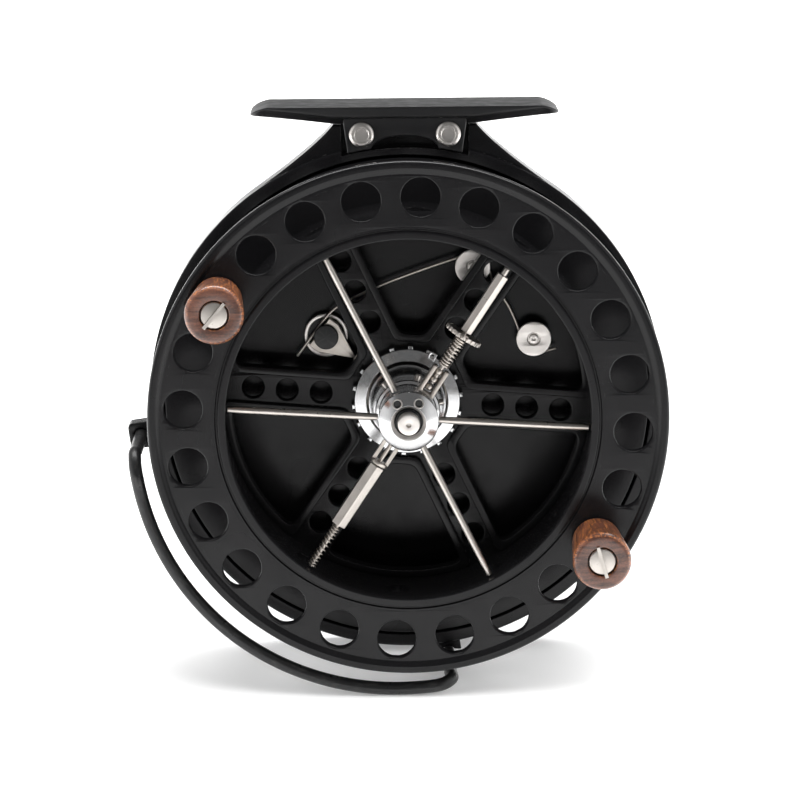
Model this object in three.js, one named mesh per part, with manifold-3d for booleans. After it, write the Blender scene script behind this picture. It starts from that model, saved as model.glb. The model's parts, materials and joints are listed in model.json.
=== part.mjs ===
// Centrepin trotting reel: an open drum that spins on a fixed spindle in front of a round backplate,
// with a rod foot, a wire line guard, a sprung check, a sliding drum release and a tension regulator.
//
// Millimetres, +Z up. Every piece is laid out round the spindle: its axis is Y, the drum's front face lies
// at y = 0, +Y runs back to the backplate, and angles turn from +X towards +Z. The whole group is then moved
// so that the origin is the middle of the foot's seat, the face that lies against the rod.
import * as THREE from "three";
import { mergeVertices } from "three/addons/utils/BufferGeometryUtils.js";
import Module from "manifold-3d";

const wasm = await Module();
wasm.setup();

// ---------------------------------------------------------------- driving dimensions
const DRUM_R = 57.15; // a drum of four and a half inches
const GAP = 0.3; // left between pieces that touch in the real reel
const RING_STEPS = 48; // facets round the big rings
const SMALL_STEPS = 16; // facets round the hub's pieces

const SPOKE_Y = 3; // the plane of the six front spokes
const SPOKE_COUNT = 6;
const SPOKE_ANGLE = -3.5; // first front spoke
const HOLE_PITCH = 15; // between the front flange's positions
const HANDLE_ANGLES = [146.5, -33.5]; // upper left, lower right
const HANDLE_R = 49.3;
const REGULATOR_ANGLE = 56.5;
const RELEASE_ANGLE = 236.5;
const LIP_R = 40.05; // inner edge of the front flange, where the spokes end

const ARM_ANGLE = -4.89; // first rear arm
const ARM_HALF = 5; // half the width of a rear arm over its ribs
const RIB_WIDTH = 1.7;
const RIB_Y = 24; // front of the ribs
const WEB_Y = 25.35; // front of the rear flange
const REAR_Y = 28; // back of the rear flange
const REAR_R = 54.6;
const POCKET_IN = 15;
const POCKET_OUT = 39.7;

const PLATE_R = 58;
const RIM_IN = 55.2;
const RIM_Y = 26; // front of the backplate's rim
const FLOOR_Y = 34;
const PLATE_Y = 36.5; // back of the backplate
const NECK_Y = 29.3;
const NECK_HALF = 16;
// Where the neck's sides run out along the rim, and how far each side's curve is drawn out.
const FLARE = { x: 33.5, z: 47.3, outX: NECK_HALF + 3.7, outZ: 57.1 };

const SEAT_Z = 66.2; // the foot's seat above the spindle
const FOOT_Y = [24.8, 42.8];
const FOOT_HALF = 34.4; // half the foot's length
const FOOT_UNDER = 62.2;
const FOOT_TIP = 2; // the foot's thickness at its ends
const TAB_BOTTOM = 57.1; // radius of the tab's lower edge
const FOOT_SCREW = { x: 9.65, z: 59.95, y: 25, headR: 2.8 };

const PAWL = { x: -18.15, z: 13.6 }; // the pawl's pivot
const TO_HUB = THREE.MathUtils.radToDeg(Math.atan2(-PAWL.z, -PAWL.x)); // the way the pawl points
const PAWL_REACH = 8.16; // pivot to tip
const PAWL_BACK = 1.9; // pivot to the flat back that the spring wire bears on
const SLIDER_TRAVEL = 1.2;
const ANCHOR = { x: 28.85, z: 12.7 };
const GUIDE = { x: 15.1, z: 29.3 };
const RATCHET_TEETH = 24;

const GUARD_ROD = 1.45;
const GUARD_R = 61;
const GUARD_BULGE = 1.4; // how much further out the guard's arc swings between its legs
const GUARD_LEGS = [188, 278.7]; // angles of its two legs

// ---------------------------------------------------------------- materials
const colour = (hex, roughness, metalness) =>
  new THREE.MeshStandardMaterial({ color: hex, roughness, metalness, flatShading: true });
const ANODISED = colour(0x2b2b2e, 0.35, 0.8);
const FOOT_BLACK = colour(0x232326, 0.4, 0.6);
const NICKEL = colour(0xb9b4aa, 0.3, 1);
const CHROME = colour(0xd9dadc, 0.12, 1);
const STEEL = colour(0x9a9894, 0.35, 1);
const BLACK_STEEL = colour(0x1d1d20, 0.4, 0.7);
const BRASS = colour(0xb58b3c, 0.35, 1);
const ROSEWOOD = colour(0x6b3524, 0.35, 0);

// ---------------------------------------------------------------- solids
// A closed geometry as a manifold solid, turned face out where its profile ran the other way.
function solid(geometry) {
  const bare = geometry.index ? geometry.toNonIndexed() : geometry.clone();
  bare.deleteAttribute("normal");
  bare.deleteAttribute("uv");
  const merged = mergeVertices(bare, 1e-4);
  const order = [];
  for (let i = 0; i < merged.index.count; i += 3) {
    const [a, b, c] = [0, 1, 2].map((k) => merged.index.getX(i + k));
    if (a !== b && b !== c && c !== a) order.push(a, b, c);
  }
  const made = (triangles) =>
    new wasm.Manifold(
      new wasm.Mesh({
        numProp: 3,
        vertProperties: merged.attributes.position.array,
        triVerts: new Uint32Array(triangles),
      }),
    );
  const first = made(order);
  return first.volume() > 0 ? first : made(order.reverse());
}

function geometryOf(made) {
  const { vertProperties, triVerts } = made.getMesh();
  const geometry = new THREE.BufferGeometry();
  geometry.setAttribute("position", new THREE.BufferAttribute(new Float32Array(vertProperties), 3));
  geometry.setIndex(new THREE.BufferAttribute(new Uint32Array(triVerts), 1));
  geometry.computeVertexNormals();
  return geometry;
}

// A named mesh of one solid, added to its group.
function piece(group, name, made, material) {
  const mesh = new THREE.Mesh(geometryOf(made), material);
  mesh.name = name;
  group.add(mesh);
  return mesh;
}

const rad = THREE.MathUtils.degToRad;
const polar = (r, degrees) => [r * Math.cos(rad(degrees)), r * Math.sin(rad(degrees))];

// A profile of [radius, y] pairs turned about the Y axis. It starts and ends on the axis.
function turned(profile, steps = SMALL_STEPS) {
  return solid(new THREE.LatheGeometry(profile.map(([r, y]) => new THREE.Vector2(r, y)), steps));
}

// The same for a ring, whose profile closes on itself.
const ring = (profile, steps = SMALL_STEPS) => turned([...profile, profile[0]], steps);

// A tube between two heights on the Y axis.
const tube = (inner, outer, y0, y1, steps = SMALL_STEPS) =>
  ring([[inner, y0], [outer, y0], [outer, y1], [inner, y1]], steps);

// A bar on the Y axis.
const bar = (r, y0, y1, steps = SMALL_STEPS) => turned([[0, y0], [r, y0], [r, y1], [0, y1]], steps);

// A flat shape drawn in X and Z, given thickness from y0 to y1.
function plate(shape, y0, y1, curveSegments = 8) {
  const geometry = new THREE.ExtrudeGeometry(shape, { depth: y1 - y0, bevelEnabled: false, curveSegments });
  return solid(geometry.rotateX(Math.PI / 2).translate(0, y1, 0));
}

// A box between two corners.
function block([x0, y0, z0], [x1, y1, z1]) {
  const geometry = new THREE.BoxGeometry(x1 - x0, y1 - y0, z1 - z0);
  return solid(geometry.translate((x0 + x1) / 2, (y0 + y1) / 2, (z0 + z1) / 2));
}

// A regular prism on the Y axis, measured across its flats.
function hexBar(acrossFlats, y0, y1) {
  const geometry = new THREE.CylinderGeometry(acrossFlats / Math.sqrt(3), acrossFlats / Math.sqrt(3), y1 - y0, 6);
  return solid(geometry.translate(0, (y0 + y1) / 2, 0));
}

const moved = (made, x, y, z) => made.translate([x, y, z]);
const turnedAboutSpindle = (made, degrees) => made.rotate([0, -degrees, 0]);

// A round wire along a curve.
function wire(curve, r, steps, sides) {
  const section = new THREE.Shape().absarc(0, 0, r, 0, 2 * Math.PI);
  const geometry = new THREE.ExtrudeGeometry(section, {
    extrudePath: curve,
    steps,
    curveSegments: sides,
    bevelEnabled: false,
  });
  return solid(geometry);
}

// An open coil spring on the Y axis.
class Coil extends THREE.Curve {
  constructor(r, y0, y1, turns) {
    super();
    Object.assign(this, { r, y0, y1, turns });
  }
  getPoint(t, target = new THREE.Vector3()) {
    const turn = 2 * Math.PI * this.turns * t;
    return target.set(this.r * Math.cos(turn), this.y0 + (this.y1 - this.y0) * t, this.r * Math.sin(turn));
  }
}

// A toothed outline: each tooth is a list of [radius, share of the pitch].
function toothedShape(teeth, tooth, startAngle = 0) {
  const shape = new THREE.Shape();
  const pitch = 360 / teeth;
  for (let i = 0; i < teeth; i++) {
    tooth.forEach(([r, share], k) => {
      const [x, z] = polar(r, startAngle + (i + share) * pitch);
      if (i + k === 0) shape.moveTo(x, z);
      else shape.lineTo(x, z);
    });
  }
  shape.closePath();
  return shape;
}

function withHole(shape, r) {
  shape.holes.push(new THREE.Path().absarc(0, 0, r, 0, 2 * Math.PI, true));
  return shape;
}

// ---------------------------------------------------------------- groups
const reel = new THREE.Group();
reel.name = "centrepin_reel";
const works = new THREE.Group(); // everything, in the spindle's frame
works.position.set(0, -(FOOT_Y[0] + FOOT_Y[1]) / 2, -SEAT_Z);
reel.add(works);

// The group of one front spoke: its own Y runs out along the spoke.
function spokeMatrix(degrees) {
  const [c, s] = polar(1, degrees);
  const basis = new THREE.Matrix4().makeBasis(
    new THREE.Vector3(0, 1, 0),
    new THREE.Vector3(c, 0, s),
    new THREE.Vector3(s, 0, -c),
  );
  return basis.setPosition(0, SPOKE_Y, 0);
}

function spokeGroup(degrees) {
  const group = new THREE.Group();
  group.applyMatrix4(spokeMatrix(degrees));
  works.add(group);
  return group;
}

// ---------------------------------------------------------------- frame: backplate and foot
// The neck rises from the rim to the foot, its sides sweeping in from the rim.
function neckShape() {
  const top = FOOT_UNDER - GAP;
  const shape = new THREE.Shape();
  shape.moveTo(-NECK_HALF, top);
  shape.quadraticCurveTo(-FLARE.outX, FLARE.outZ, -FLARE.x, FLARE.z);
  shape.lineTo(FLARE.x, FLARE.z);
  shape.quadraticCurveTo(FLARE.outX, FLARE.outZ, NECK_HALF, top);
  shape.closePath();
  return shape;
}

// The seat that the foot's tab sits in: a step in the front of the rim and neck.
function tabSeat() {
  const half = 14.4;
  const shape = new THREE.Shape();
  shape.absarc(0, 0, TAB_BOTTOM - GAP, rad(90) - half / TAB_BOTTOM, rad(90) + half / TAB_BOTTOM, false);
  shape.lineTo(-half, FOOT_UNDER + 1);
  shape.lineTo(half, FOOT_UNDER + 1);
  shape.closePath();
  return plate(shape, RIM_Y - 1, NECK_Y);
}

function buildBackplate() {
  const dish = turned(
    [
      [0, FLOOR_Y], [RIM_IN - 1.5, FLOOR_Y], [RIM_IN, FLOOR_Y - 1.5], [RIM_IN, RIM_Y], [PLATE_R - 0.6, RIM_Y],
      [PLATE_R, RIM_Y + 0.6], [PLATE_R, PLATE_Y - 1.5], [PLATE_R - 1.5, PLATE_Y], [0, PLATE_Y],
    ],
    RING_STEPS,
  );
  const neck = plate(neckShape(), RIM_Y + 1.2, PLATE_Y - 0.5).subtract(bar(RIM_IN, 0, FLOOR_Y, RING_STEPS));
  const slotDepth = [FLOOR_Y - 1, PLATE_Y + 1];
  const slot = new THREE.Shape();
  slot.absarc(0, 0, 1.8, rad(90), rad(270), false);
  slot.absarc(SLIDER_TRAVEL, 0, 1.8, rad(-90), rad(90), false);
  slot.closePath();
  const slotCut = moved(turnedAboutSpindle(plate(slot, ...slotDepth, 5), TO_HUB), PAWL.x, 0, PAWL.z);
  let made = dish.add(neck).subtract(tabSeat()).subtract(bar(3.3, FLOOR_Y - 1, PLATE_Y + 1));
  made = made.subtract(slotCut);
  for (const side of [-1, 1])
    made = made.subtract(moved(bar(1.5, NECK_Y - 1, 33.4, 12), side * FOOT_SCREW.x, 0, FOOT_SCREW.z));
  for (const post of [ANCHOR, GUIDE])
    made = made.subtract(moved(bar(1.5, FLOOR_Y - 1, PLATE_Y - 0.6, 12), post.x, 0, post.z));
  return made;
}

function buildFoot() {
  const [front, back] = FOOT_Y;
  const tipZ = SEAT_Z - FOOT_TIP;
  const side = new THREE.Shape(); // seen from the front: the seat is flat and rolls over at its ends
  side.moveTo(-FOOT_HALF, tipZ);
  side.quadraticCurveTo(-24, tipZ - 1, -NECK_HALF, FOOT_UNDER);
  side.lineTo(NECK_HALF, FOOT_UNDER);
  side.quadraticCurveTo(24, tipZ - 1, FOOT_HALF, tipZ);
  side.quadraticCurveTo(FOOT_HALF - 1.6, SEAT_Z - 0.4, FOOT_HALF - 4, SEAT_Z);
  side.lineTo(-FOOT_HALF + 4, SEAT_Z);
  side.quadraticCurveTo(-FOOT_HALF + 1.6, SEAT_Z - 0.4, -FOOT_HALF, tipZ);
  const body = plate(side, front, back, 4);

  const corner = 2; // seen from above the four corners are cut off by this much
  const half = (back - front) / 2;
  const plan = new THREE.Shape();
  plan.moveTo(-FOOT_HALF, -half + corner);
  plan.lineTo(-FOOT_HALF + corner, -half);
  plan.lineTo(FOOT_HALF - corner, -half);
  plan.lineTo(FOOT_HALF, -half + corner);
  plan.lineTo(FOOT_HALF, half - corner);
  plan.lineTo(FOOT_HALF - corner, half);
  plan.lineTo(-FOOT_HALF + corner, half);
  plan.lineTo(-FOOT_HALF, half - corner);
  plan.closePath();
  const outline = new THREE.ExtrudeGeometry(plan, { depth: 20, bevelEnabled: false });
  const cutter = solid(outline.translate(0, (front + back) / 2, SEAT_Z - 15));

  // The tab hangs in front of the neck, follows the rim below and has an arch between its screws.
  const tabHalf = 12.9;
  const tab = new THREE.Shape();
  tab.absarc(0, 0, TAB_BOTTOM, rad(90) - tabHalf / TAB_BOTTOM, rad(90) + tabHalf / TAB_BOTTOM, false);
  tab.lineTo(-tabHalf - 1, FOOT_UNDER + 0.5);
  tab.lineTo(tabHalf + 1, FOOT_UNDER + 0.5);
  tab.closePath();
  const archHalf = 7.6;
  const crown = 59.6;
  const arch = new THREE.Shape();
  arch.moveTo(-archHalf, TAB_BOTTOM - 2);
  arch.lineTo(archHalf, TAB_BOTTOM - 2);
  arch.lineTo(archHalf, TAB_BOTTOM - 0.5);
  arch.quadraticCurveTo(archHalf - 1.1, crown, 0, crown);
  arch.quadraticCurveTo(-archHalf + 1.1, crown, -archHalf, TAB_BOTTOM - 0.5);
  arch.closePath();
  const hanging = plate(tab, FOOT_SCREW.y, NECK_Y - GAP).subtract(plate(arch, RIM_Y - 2, NECK_Y + 1, 5));
  let made = body.intersect(cutter).add(hanging);
  for (const sign of [-1, 1])
    made = made.subtract(moved(bar(1.5, 20, 30, 12), sign * FOOT_SCREW.x, 0, FOOT_SCREW.z).intersect(
      block([-20, 20, FOOT_UNDER - 6], [20, 30, FOOT_UNDER - 0.5])));
  return made;
}

// A round-headed screw on the Y axis, its head in front of the face at faceY.
function buildScrew(headR, headHigh, shankR, faceY, endY) {
  const top = faceY - GAP - headHigh;
  return turned(
    [[0, top], [headR * 0.8, top], [headR, top + headHigh * 0.4], [headR, faceY - GAP], [shankR, faceY - GAP],
      [shankR, endY], [0, endY]],
    16,
  );
}

piece(works, "backplate", buildBackplate(), ANODISED);
piece(works, "reel_foot", buildFoot(), FOOT_BLACK);
for (const [name, sign] of [["foot_screw_left", -1], ["foot_screw_right", 1]]) {
  const screw = piece(works, name, buildScrew(FOOT_SCREW.headR, 1, 1.2, FOOT_SCREW.y, 33.1), NICKEL);
  screw.position.set(sign * FOOT_SCREW.x, 0, FOOT_SCREW.z);
}

// ---------------------------------------------------------------- frame: spindle and inner races
const SPINDLE = { front: 1.2, shoulder: 19, thin: 2.5, thick: 3.2, groove: 1.5, flange: 9, thread: 3 };
const GROOVE = [SPOKE_Y - 0.8, SPOKE_Y + 0.8];
const FRONT_BEARING = { y0: 4.9, y1: 8.7, r: [2.8, 3.4, 4.6, 5], ball: 0.5 };
const REAR_BEARING = { y0: 20.3, y1: 25.7, r: [3.5, 4.3, 5.8, 6.6], ball: 0.62 };
const FLANGE_BACK = FLOOR_Y - GAP;
const FLANGE_FRONT = FLANGE_BACK - 2;

const spindleProfile = [
  [0, SPINDLE.front], [SPINDLE.thin - 0.5, SPINDLE.front], [SPINDLE.thin, SPINDLE.front + 0.5],
  [SPINDLE.thin, GROOVE[0]], [SPINDLE.groove, GROOVE[0]], [SPINDLE.groove, GROOVE[1]], [SPINDLE.thin, GROOVE[1]],
  [SPINDLE.thin, SPINDLE.shoulder], [SPINDLE.thick, SPINDLE.shoulder], [SPINDLE.thick, FLANGE_FRONT],
  [SPINDLE.flange, FLANGE_FRONT], [SPINDLE.flange, FLANGE_BACK], [SPINDLE.thread, FLANGE_BACK],
  [SPINDLE.thread, 40.2], [0, 40.2],
];
piece(works, "spindle", turned(spindleProfile), STEEL);
piece(works, "spindle_washer", tube(3.3, 7, PLATE_Y + GAP, PLATE_Y + 1.1), NICKEL);
piece(works, "spindle_nut", hexBar(9, PLATE_Y + 1.4, PLATE_Y + 4.2).subtract(bar(3.3, 30, 45)), NICKEL);
piece(works, "bearing_front_inner", tube(FRONT_BEARING.r[0], FRONT_BEARING.r[1], FRONT_BEARING.y0,
  FRONT_BEARING.y1), CHROME);
piece(works, "bearing_rear_inner", tube(REAR_BEARING.r[0], REAR_BEARING.r[1], REAR_BEARING.y0,
  REAR_BEARING.y1), CHROME);

// ---------------------------------------------------------------- frame: line guard
const LUG_Y = [28, 33];
const GUARD_END = LUG_Y[1] - 1.5;

function guardCurve() {
  const points = [];
  const [first, last] = GUARD_LEGS;
  const leg = (angle, y) => new THREE.Vector3(polar(GUARD_R, angle)[0], y, polar(GUARD_R, angle)[1]);
  for (const y of [GUARD_END, 22, 12, 6.5]) points.push(leg(first, y));
  const bend = 2.4; // degrees of arc taken by the corner
  const arcSteps = 14;
  for (let i = 0; i <= arcSteps; i++) {
    const t = i / arcSteps;
    const angle = first + bend + t * (last - first - 2 * bend);
    const [x, z] = polar(GUARD_R + GUARD_BULGE * Math.sin(Math.PI * t), angle);
    points.push(new THREE.Vector3(x, SPOKE_Y, z));
  }
  for (const y of [6.5, 12, 22, GUARD_END]) points.push(leg(last, y));
  return new THREE.CatmullRomCurve3(points, false, "centripetal");
}

// A lug on the rim that holds one leg of the guard, drawn about angle 0.
function buildLug() {
  const inner = PLATE_R + GAP;
  const outer = GUARD_R + 2.7;
  const half = 3;
  const shape = new THREE.Shape();
  shape.absarc(0, 0, inner, -half / inner, half / inner, false);
  shape.lineTo(outer - 1, half);
  shape.quadraticCurveTo(outer, half, outer, half - 1.2);
  shape.lineTo(outer, 1.2 - half);
  shape.quadraticCurveTo(outer, -half, outer - 1, -half);
  shape.closePath();
  const bore = bar(GUARD_ROD + GAP, LUG_Y[0] - 1, GUARD_END + GAP, 12).add(bar(1.1, LUG_Y[0], LUG_Y[1] + 1, 12));
  return plate(shape, ...LUG_Y, 4).subtract(moved(bore, GUARD_R, 0, 0));
}

function buildGuardScrew() {
  const head = [LUG_Y[1] + GAP, LUG_Y[1] + GAP + 1.3];
  return moved(bar(0.8, GUARD_END + GAP, head[0], 12).add(bar(1.9, ...head, 12)), GUARD_R, 0, 0);
}

piece(works, "line_guard", wire(guardCurve(), GUARD_ROD, 46, 3), BLACK_STEEL);
["left", "lower"].forEach((side, i) => {
  piece(works, `guard_lug_${side}`, turnedAboutSpindle(buildLug(), GUARD_LEGS[i]), ANODISED);
  piece(works, `guard_screw_${side}`, turnedAboutSpindle(buildGuardScrew(), GUARD_LEGS[i]), BLACK_STEEL);
});

// ---------------------------------------------------------------- frame and slider: the check
const POST = { head: 4, shank: 2.2, socket: 1.4, front: 28.9, under: 29.8 };
const WIRE_Y = 30.4;
const PAWL_Y = [29.4, 31.2];

function buildPost() {
  const tail = [[POST.shank, FLOOR_Y - GAP], [1.2, FLOOR_Y - GAP], [1.2, PLATE_Y - 1], [0, PLATE_Y - 1]];
  const body = turned([[0, POST.front], [POST.head, POST.front], [POST.head, POST.under],
    [POST.shank, POST.under], ...tail], 12);
  return body.subtract(bar(POST.socket, 0, POST.front + 1, 6));
}

// The wire runs from a tail beside the anchor post, round the guide post and along the pawl's flat back.
function springCurve() {
  const back = PAWL_BACK + GAP + 0.4;
  const [cx, cz] = polar(1, TO_HUB);
  const along = (distance) => [PAWL.x - back * cx - distance * cz, PAWL.z - back * cz + distance * cx];
  const route = [
    [34, 10.3], [30, 9.6], [26.3, 10.9], [25.6, 14.2], [23.5, 19.5], [19.6, 26], [18.2, 30.4], [15.7, 32.4],
    [11.5, 31.2], [3, 28.4], [-7, 24.6], [-15.6, 20.3], along(3), along(0), along(-3.4), along(-7.6),
  ];
  return new THREE.CatmullRomCurve3(route.map(([x, z]) => new THREE.Vector3(x, WIRE_Y, z)), false, "centripetal");
}

function buildPawl() {
  const tip = 0.35;
  const shape = new THREE.Shape(); // drawn with its tip along +X
  shape.moveTo(-PAWL_BACK, 3.9);
  shape.lineTo(-PAWL_BACK, -3.9);
  shape.lineTo(0.6, -3.9);
  shape.lineTo(PAWL_REACH - tip, -tip);
  shape.lineTo(PAWL_REACH, 0);
  shape.lineTo(PAWL_REACH - tip, tip);
  shape.lineTo(0.6, 3.9);
  shape.closePath();
  return plate(withHole(shape, 1.3), ...PAWL_Y, 4);
}

function buildSlider() {
  const disc = [PAWL_Y[1] + GAP, FLOOR_Y - GAP];
  const body = bar(5, ...disc).add(bar(1.5, disc[1] - 0.1, PLATE_Y + 1.4, 12));
  return body.subtract(bar(1.3, disc[0] - 1, disc[1] - 0.6, 12));
}

const checkGroup = new THREE.Group();
checkGroup.position.set(PAWL.x, 0, PAWL.z);
works.add(checkGroup);

for (const [name, at] of [["spring_anchor_post", ANCHOR], ["spring_guide_post", GUIDE]])
  piece(works, name, buildPost(), STEEL).position.set(at.x, 0, at.z);
piece(works, "check_spring", wire(springCurve(), 0.35, 44, 2), STEEL);
piece(checkGroup, "check_slider", buildSlider(), STEEL);
const buttonShape = withHole(toothedShape(16, [[5, 0.1], [5, 0.5], [4.6, 0.6], [4.6, 1]]), 1.8);
piece(checkGroup, "check_button", plate(buttonShape, PLATE_Y + GAP, PLATE_Y + 2.2, 4), ANODISED);
const pivotPin = bar(2.8, 28.5, 29.1, 20).add(bar(1, 29, FLOOR_Y - GAP - 0.9, 12));
piece(checkGroup, "pawl_pivot", pivotPin, BLACK_STEEL);
piece(checkGroup, "check_pawl", turnedAboutSpindle(buildPawl(), TO_HUB), STEEL);

// ---------------------------------------------------------------- drum: flanges and arbor
const FLANGE_BACK_Y = 2.4;
const FRONT_HOLE_R = 4.3;
const HANDLE_STUD = 1.7;
const ARBOR = { inner: 41.3, outer: 44.9, ventR: 3 };

function buildFrontFlange() {
  const lip = 0.5; // height of the raised edges
  let made = ring(
    [
      [LIP_R, -lip], [LIP_R + 1.65, -lip], [LIP_R + 2, 0], [54.6, 0], [55.4, -lip], [56.7, -lip],
      [DRUM_R, 0.1], [DRUM_R, 1.9], [DRUM_R - 0.6, FLANGE_BACK_Y], [LIP_R, FLANGE_BACK_Y],
    ],
    RING_STEPS,
  );
  for (let angle = SPOKE_ANGLE; angle < SPOKE_ANGLE + 360; angle += HOLE_PITCH) {
    const handle = HANDLE_ANGLES.some((at) => (at - angle + 720) % 360 === 0);
    const [x, z] = polar(HANDLE_R, angle);
    made = made.subtract(moved(bar(handle ? HANDLE_STUD + GAP : FRONT_HOLE_R, -1, 4, 10), x, 0, z));
  }
  return made;
}

function buildArbor() {
  const span = [FLANGE_BACK_Y + GAP, WEB_Y - GAP];
  let made = tube(ARBOR.inner, ARBOR.outer, ...span, RING_STEPS);
  const vent = moved(bar(ARBOR.ventR, 0, 60, 8).rotate([0, 0, -90]), 0, (span[0] + span[1]) / 2, 0);
  for (let angle = SPOKE_ANGLE; angle < SPOKE_ANGLE + 360; angle += 2 * HOLE_PITCH)
    made = made.subtract(turnedAboutSpindle(vent, angle));
  return made;
}

// The window between two rear arms, drawn from the first arm at angle 0 to the next at 60 degrees.
function pocketShape() {
  const step = (2 * Math.PI) / SPOKE_COUNT;
  const edge = (r) => Math.asin(ARM_HALF / r); // an arm's side, seen from the axis
  const point = (r, angle) => [r * Math.cos(angle), r * Math.sin(angle)];
  const roundOut = 4;
  const roundIn = 1.8;
  const outer = edge(POCKET_OUT) + roundOut / POCKET_OUT;
  const inner = edge(POCKET_IN) + roundIn / POCKET_IN;
  const low = POCKET_IN + roundIn;
  const high = POCKET_OUT - roundOut;
  const shape = new THREE.Shape();
  shape.moveTo(...point(low, edge(low)));
  shape.lineTo(...point(high, edge(high)));
  shape.quadraticCurveTo(...point(POCKET_OUT, edge(POCKET_OUT)), ...point(POCKET_OUT, outer));
  shape.absarc(0, 0, POCKET_OUT, outer, step - outer, false);
  shape.quadraticCurveTo(...point(POCKET_OUT, step - edge(POCKET_OUT)), ...point(high, step - edge(high)));
  shape.lineTo(...point(low, step - edge(low)));
  shape.quadraticCurveTo(...point(POCKET_IN, step - edge(POCKET_IN)), ...point(POCKET_IN, step - inner));
  shape.quadraticCurveTo(...point(POCKET_IN * 1.005, step / 2), ...point(POCKET_IN, inner));
  shape.quadraticCurveTo(...point(POCKET_IN, edge(POCKET_IN)), ...point(low, edge(low)));
  return shape;
}

function buildRearFlange() {
  const hubR = 9.05;
  let made = ring(
    [
      [hubR, WEB_Y], [13.4, WEB_Y], [13.4, RIB_Y], [POCKET_IN + 0.4, RIB_Y], [POCKET_IN + 0.4, WEB_Y],
      [POCKET_OUT - 0.2, WEB_Y], [POCKET_OUT - 0.2, RIB_Y], [ARBOR.inner - GAP, RIB_Y],
      [ARBOR.inner - GAP, WEB_Y], [REAR_R, WEB_Y], [REAR_R, REAR_Y], [hubR, REAR_Y],
    ],
    RING_STEPS,
  );
  const ribs = [-1, 1].map((side) => {
    const sides = [side * ARM_HALF, side * (ARM_HALF - RIB_WIDTH)].sort((a, b) => a - b);
    return block([POCKET_IN - 0.6, RIB_Y, sides[0]], [POCKET_OUT + 0.5, WEB_Y + 0.2, sides[1]]);
  });
  const pocket = plate(pocketShape(), RIB_Y - 1, REAR_Y + 1, 4);
  const armHoles = [19.47, 27.16, 34.85].map((r) => moved(bar(2.48, RIB_Y, REAR_Y + 1, 10), r, 0, 0));
  const angles = [...Array(SPOKE_COUNT).keys()].map((i) => ARM_ANGLE + (i * 360) / SPOKE_COUNT);
  for (const angle of angles)
    for (const rib of ribs) made = made.add(turnedAboutSpindle(rib, angle));
  for (const angle of angles)
    for (const cut of [pocket, ...armHoles]) made = made.subtract(turnedAboutSpindle(cut, angle));
  return made;
}

piece(works, "front_flange", buildFrontFlange(), ANODISED);
piece(works, "arbor", buildArbor(), ANODISED);
piece(works, "rear_flange", buildRearFlange(), ANODISED);

// ---------------------------------------------------------------- drum: hub, bearings and ratchet
const BARREL = { front: 6.3, middle: 7.2, rear: 8.7, bore: 2.9, y0: 0.9, y1: REAR_Y };

function buildBarrel() {
  const frontSeat = FRONT_BEARING.r[3] + 0.25;
  const rearSeat = REAR_BEARING.r[3] + GAP;
  let made = ring([
    [BARREL.bore, BARREL.y0], [BARREL.front, BARREL.y0], [BARREL.front, 9.5], [BARREL.middle, 9.5],
    [BARREL.middle, 16], [BARREL.rear, 16], [BARREL.rear, BARREL.y1], [rearSeat, BARREL.y1],
    [rearSeat, REAR_BEARING.y0 - GAP], [4, REAR_BEARING.y0 - GAP], [4, FRONT_BEARING.y1 + GAP],
    [frontSeat, FRONT_BEARING.y1 + GAP], [frontSeat, FRONT_BEARING.y0 - GAP],
    [BARREL.bore, FRONT_BEARING.y0 - GAP],
  ]);
  const window = moved(bar(1, 0, 12, 10).rotate([0, 0, -90]), 0, SPOKE_Y, 0);
  for (const angle of [REGULATOR_ANGLE, RELEASE_ANGLE]) made = made.subtract(turnedAboutSpindle(window, angle));
  return made;
}

function buildCap() {
  let made = ring([
    [1.6, -1.2], [2.8, -1.2], [3.85, -2.6], [4.8, -2.1], [5.8, -1.4], [6.6, -0.7], [6.6, 0.6], [1.6, 0.6],
  ]);
  for (const angle of [57, 120]) {
    const [x, z] = polar(5.1, angle);
    made = made.subtract(moved(bar(0.6, -5, -1.8, 8), x, 0, z));
  }
  return made;
}

// A ring of balls joined by their cage.
function buildBalls({ y0, y1, r, ball }) {
  const middleR = (r[1] + r[2]) / 2;
  const middleY = (y0 + y1) / 2;
  const count = 6;
  let made = tube(middleR - 0.2, middleR + 0.2, middleY - 0.5, middleY + 0.5, 12);
  for (let i = 0; i < count; i++) {
    const [x, z] = polar(middleR, (i * 360) / count);
    made = made.add(moved(solid(new THREE.SphereGeometry(ball, 6, 4)), x, middleY, z));
  }
  return made;
}

piece(works, "hub_barrel", buildBarrel(), CHROME);
piece(works, "hub_cap", buildCap(), CHROME);
const socket = bar(0.85, -5, -3.4, 6);
piece(works, "cap_screw", bar(2.4, -4.3, -1.5).add(bar(1.3, -1.6, 0.6, 12)).subtract(socket), NICKEL);
const LOCK = { teeth: 18, tipR: 12.6, outer: 11.88, inner: 9.15, y: [21.3, WEB_Y - GAP] };
const lockTooth = [[LOCK.tipR, 0.38], [LOCK.tipR, 0.62], [LOCK.outer - 0.2, 0.63], [LOCK.outer - 0.2, 1.37]];
const lockTeeth = withHole(toothedShape(LOCK.teeth, lockTooth, -4), LOCK.inner);
const lockRing = ring([
  [LOCK.inner, LOCK.y[0]], [LOCK.outer, LOCK.y[0] + 1], [LOCK.outer, LOCK.y[1]], [LOCK.inner, LOCK.y[1]],
]).add(plate(lockTeeth, LOCK.y[0] + 1.2, LOCK.y[1], 6));
piece(works, "hub_lock_ring", lockRing, CHROME);
const toothShape = toothedShape(
  RATCHET_TEETH,
  [[14.1, 0.44], [14.1, 0.56], [12.7, 0.94], [12.7, 1.06]],
  TO_HUB + 180,
);
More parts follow.
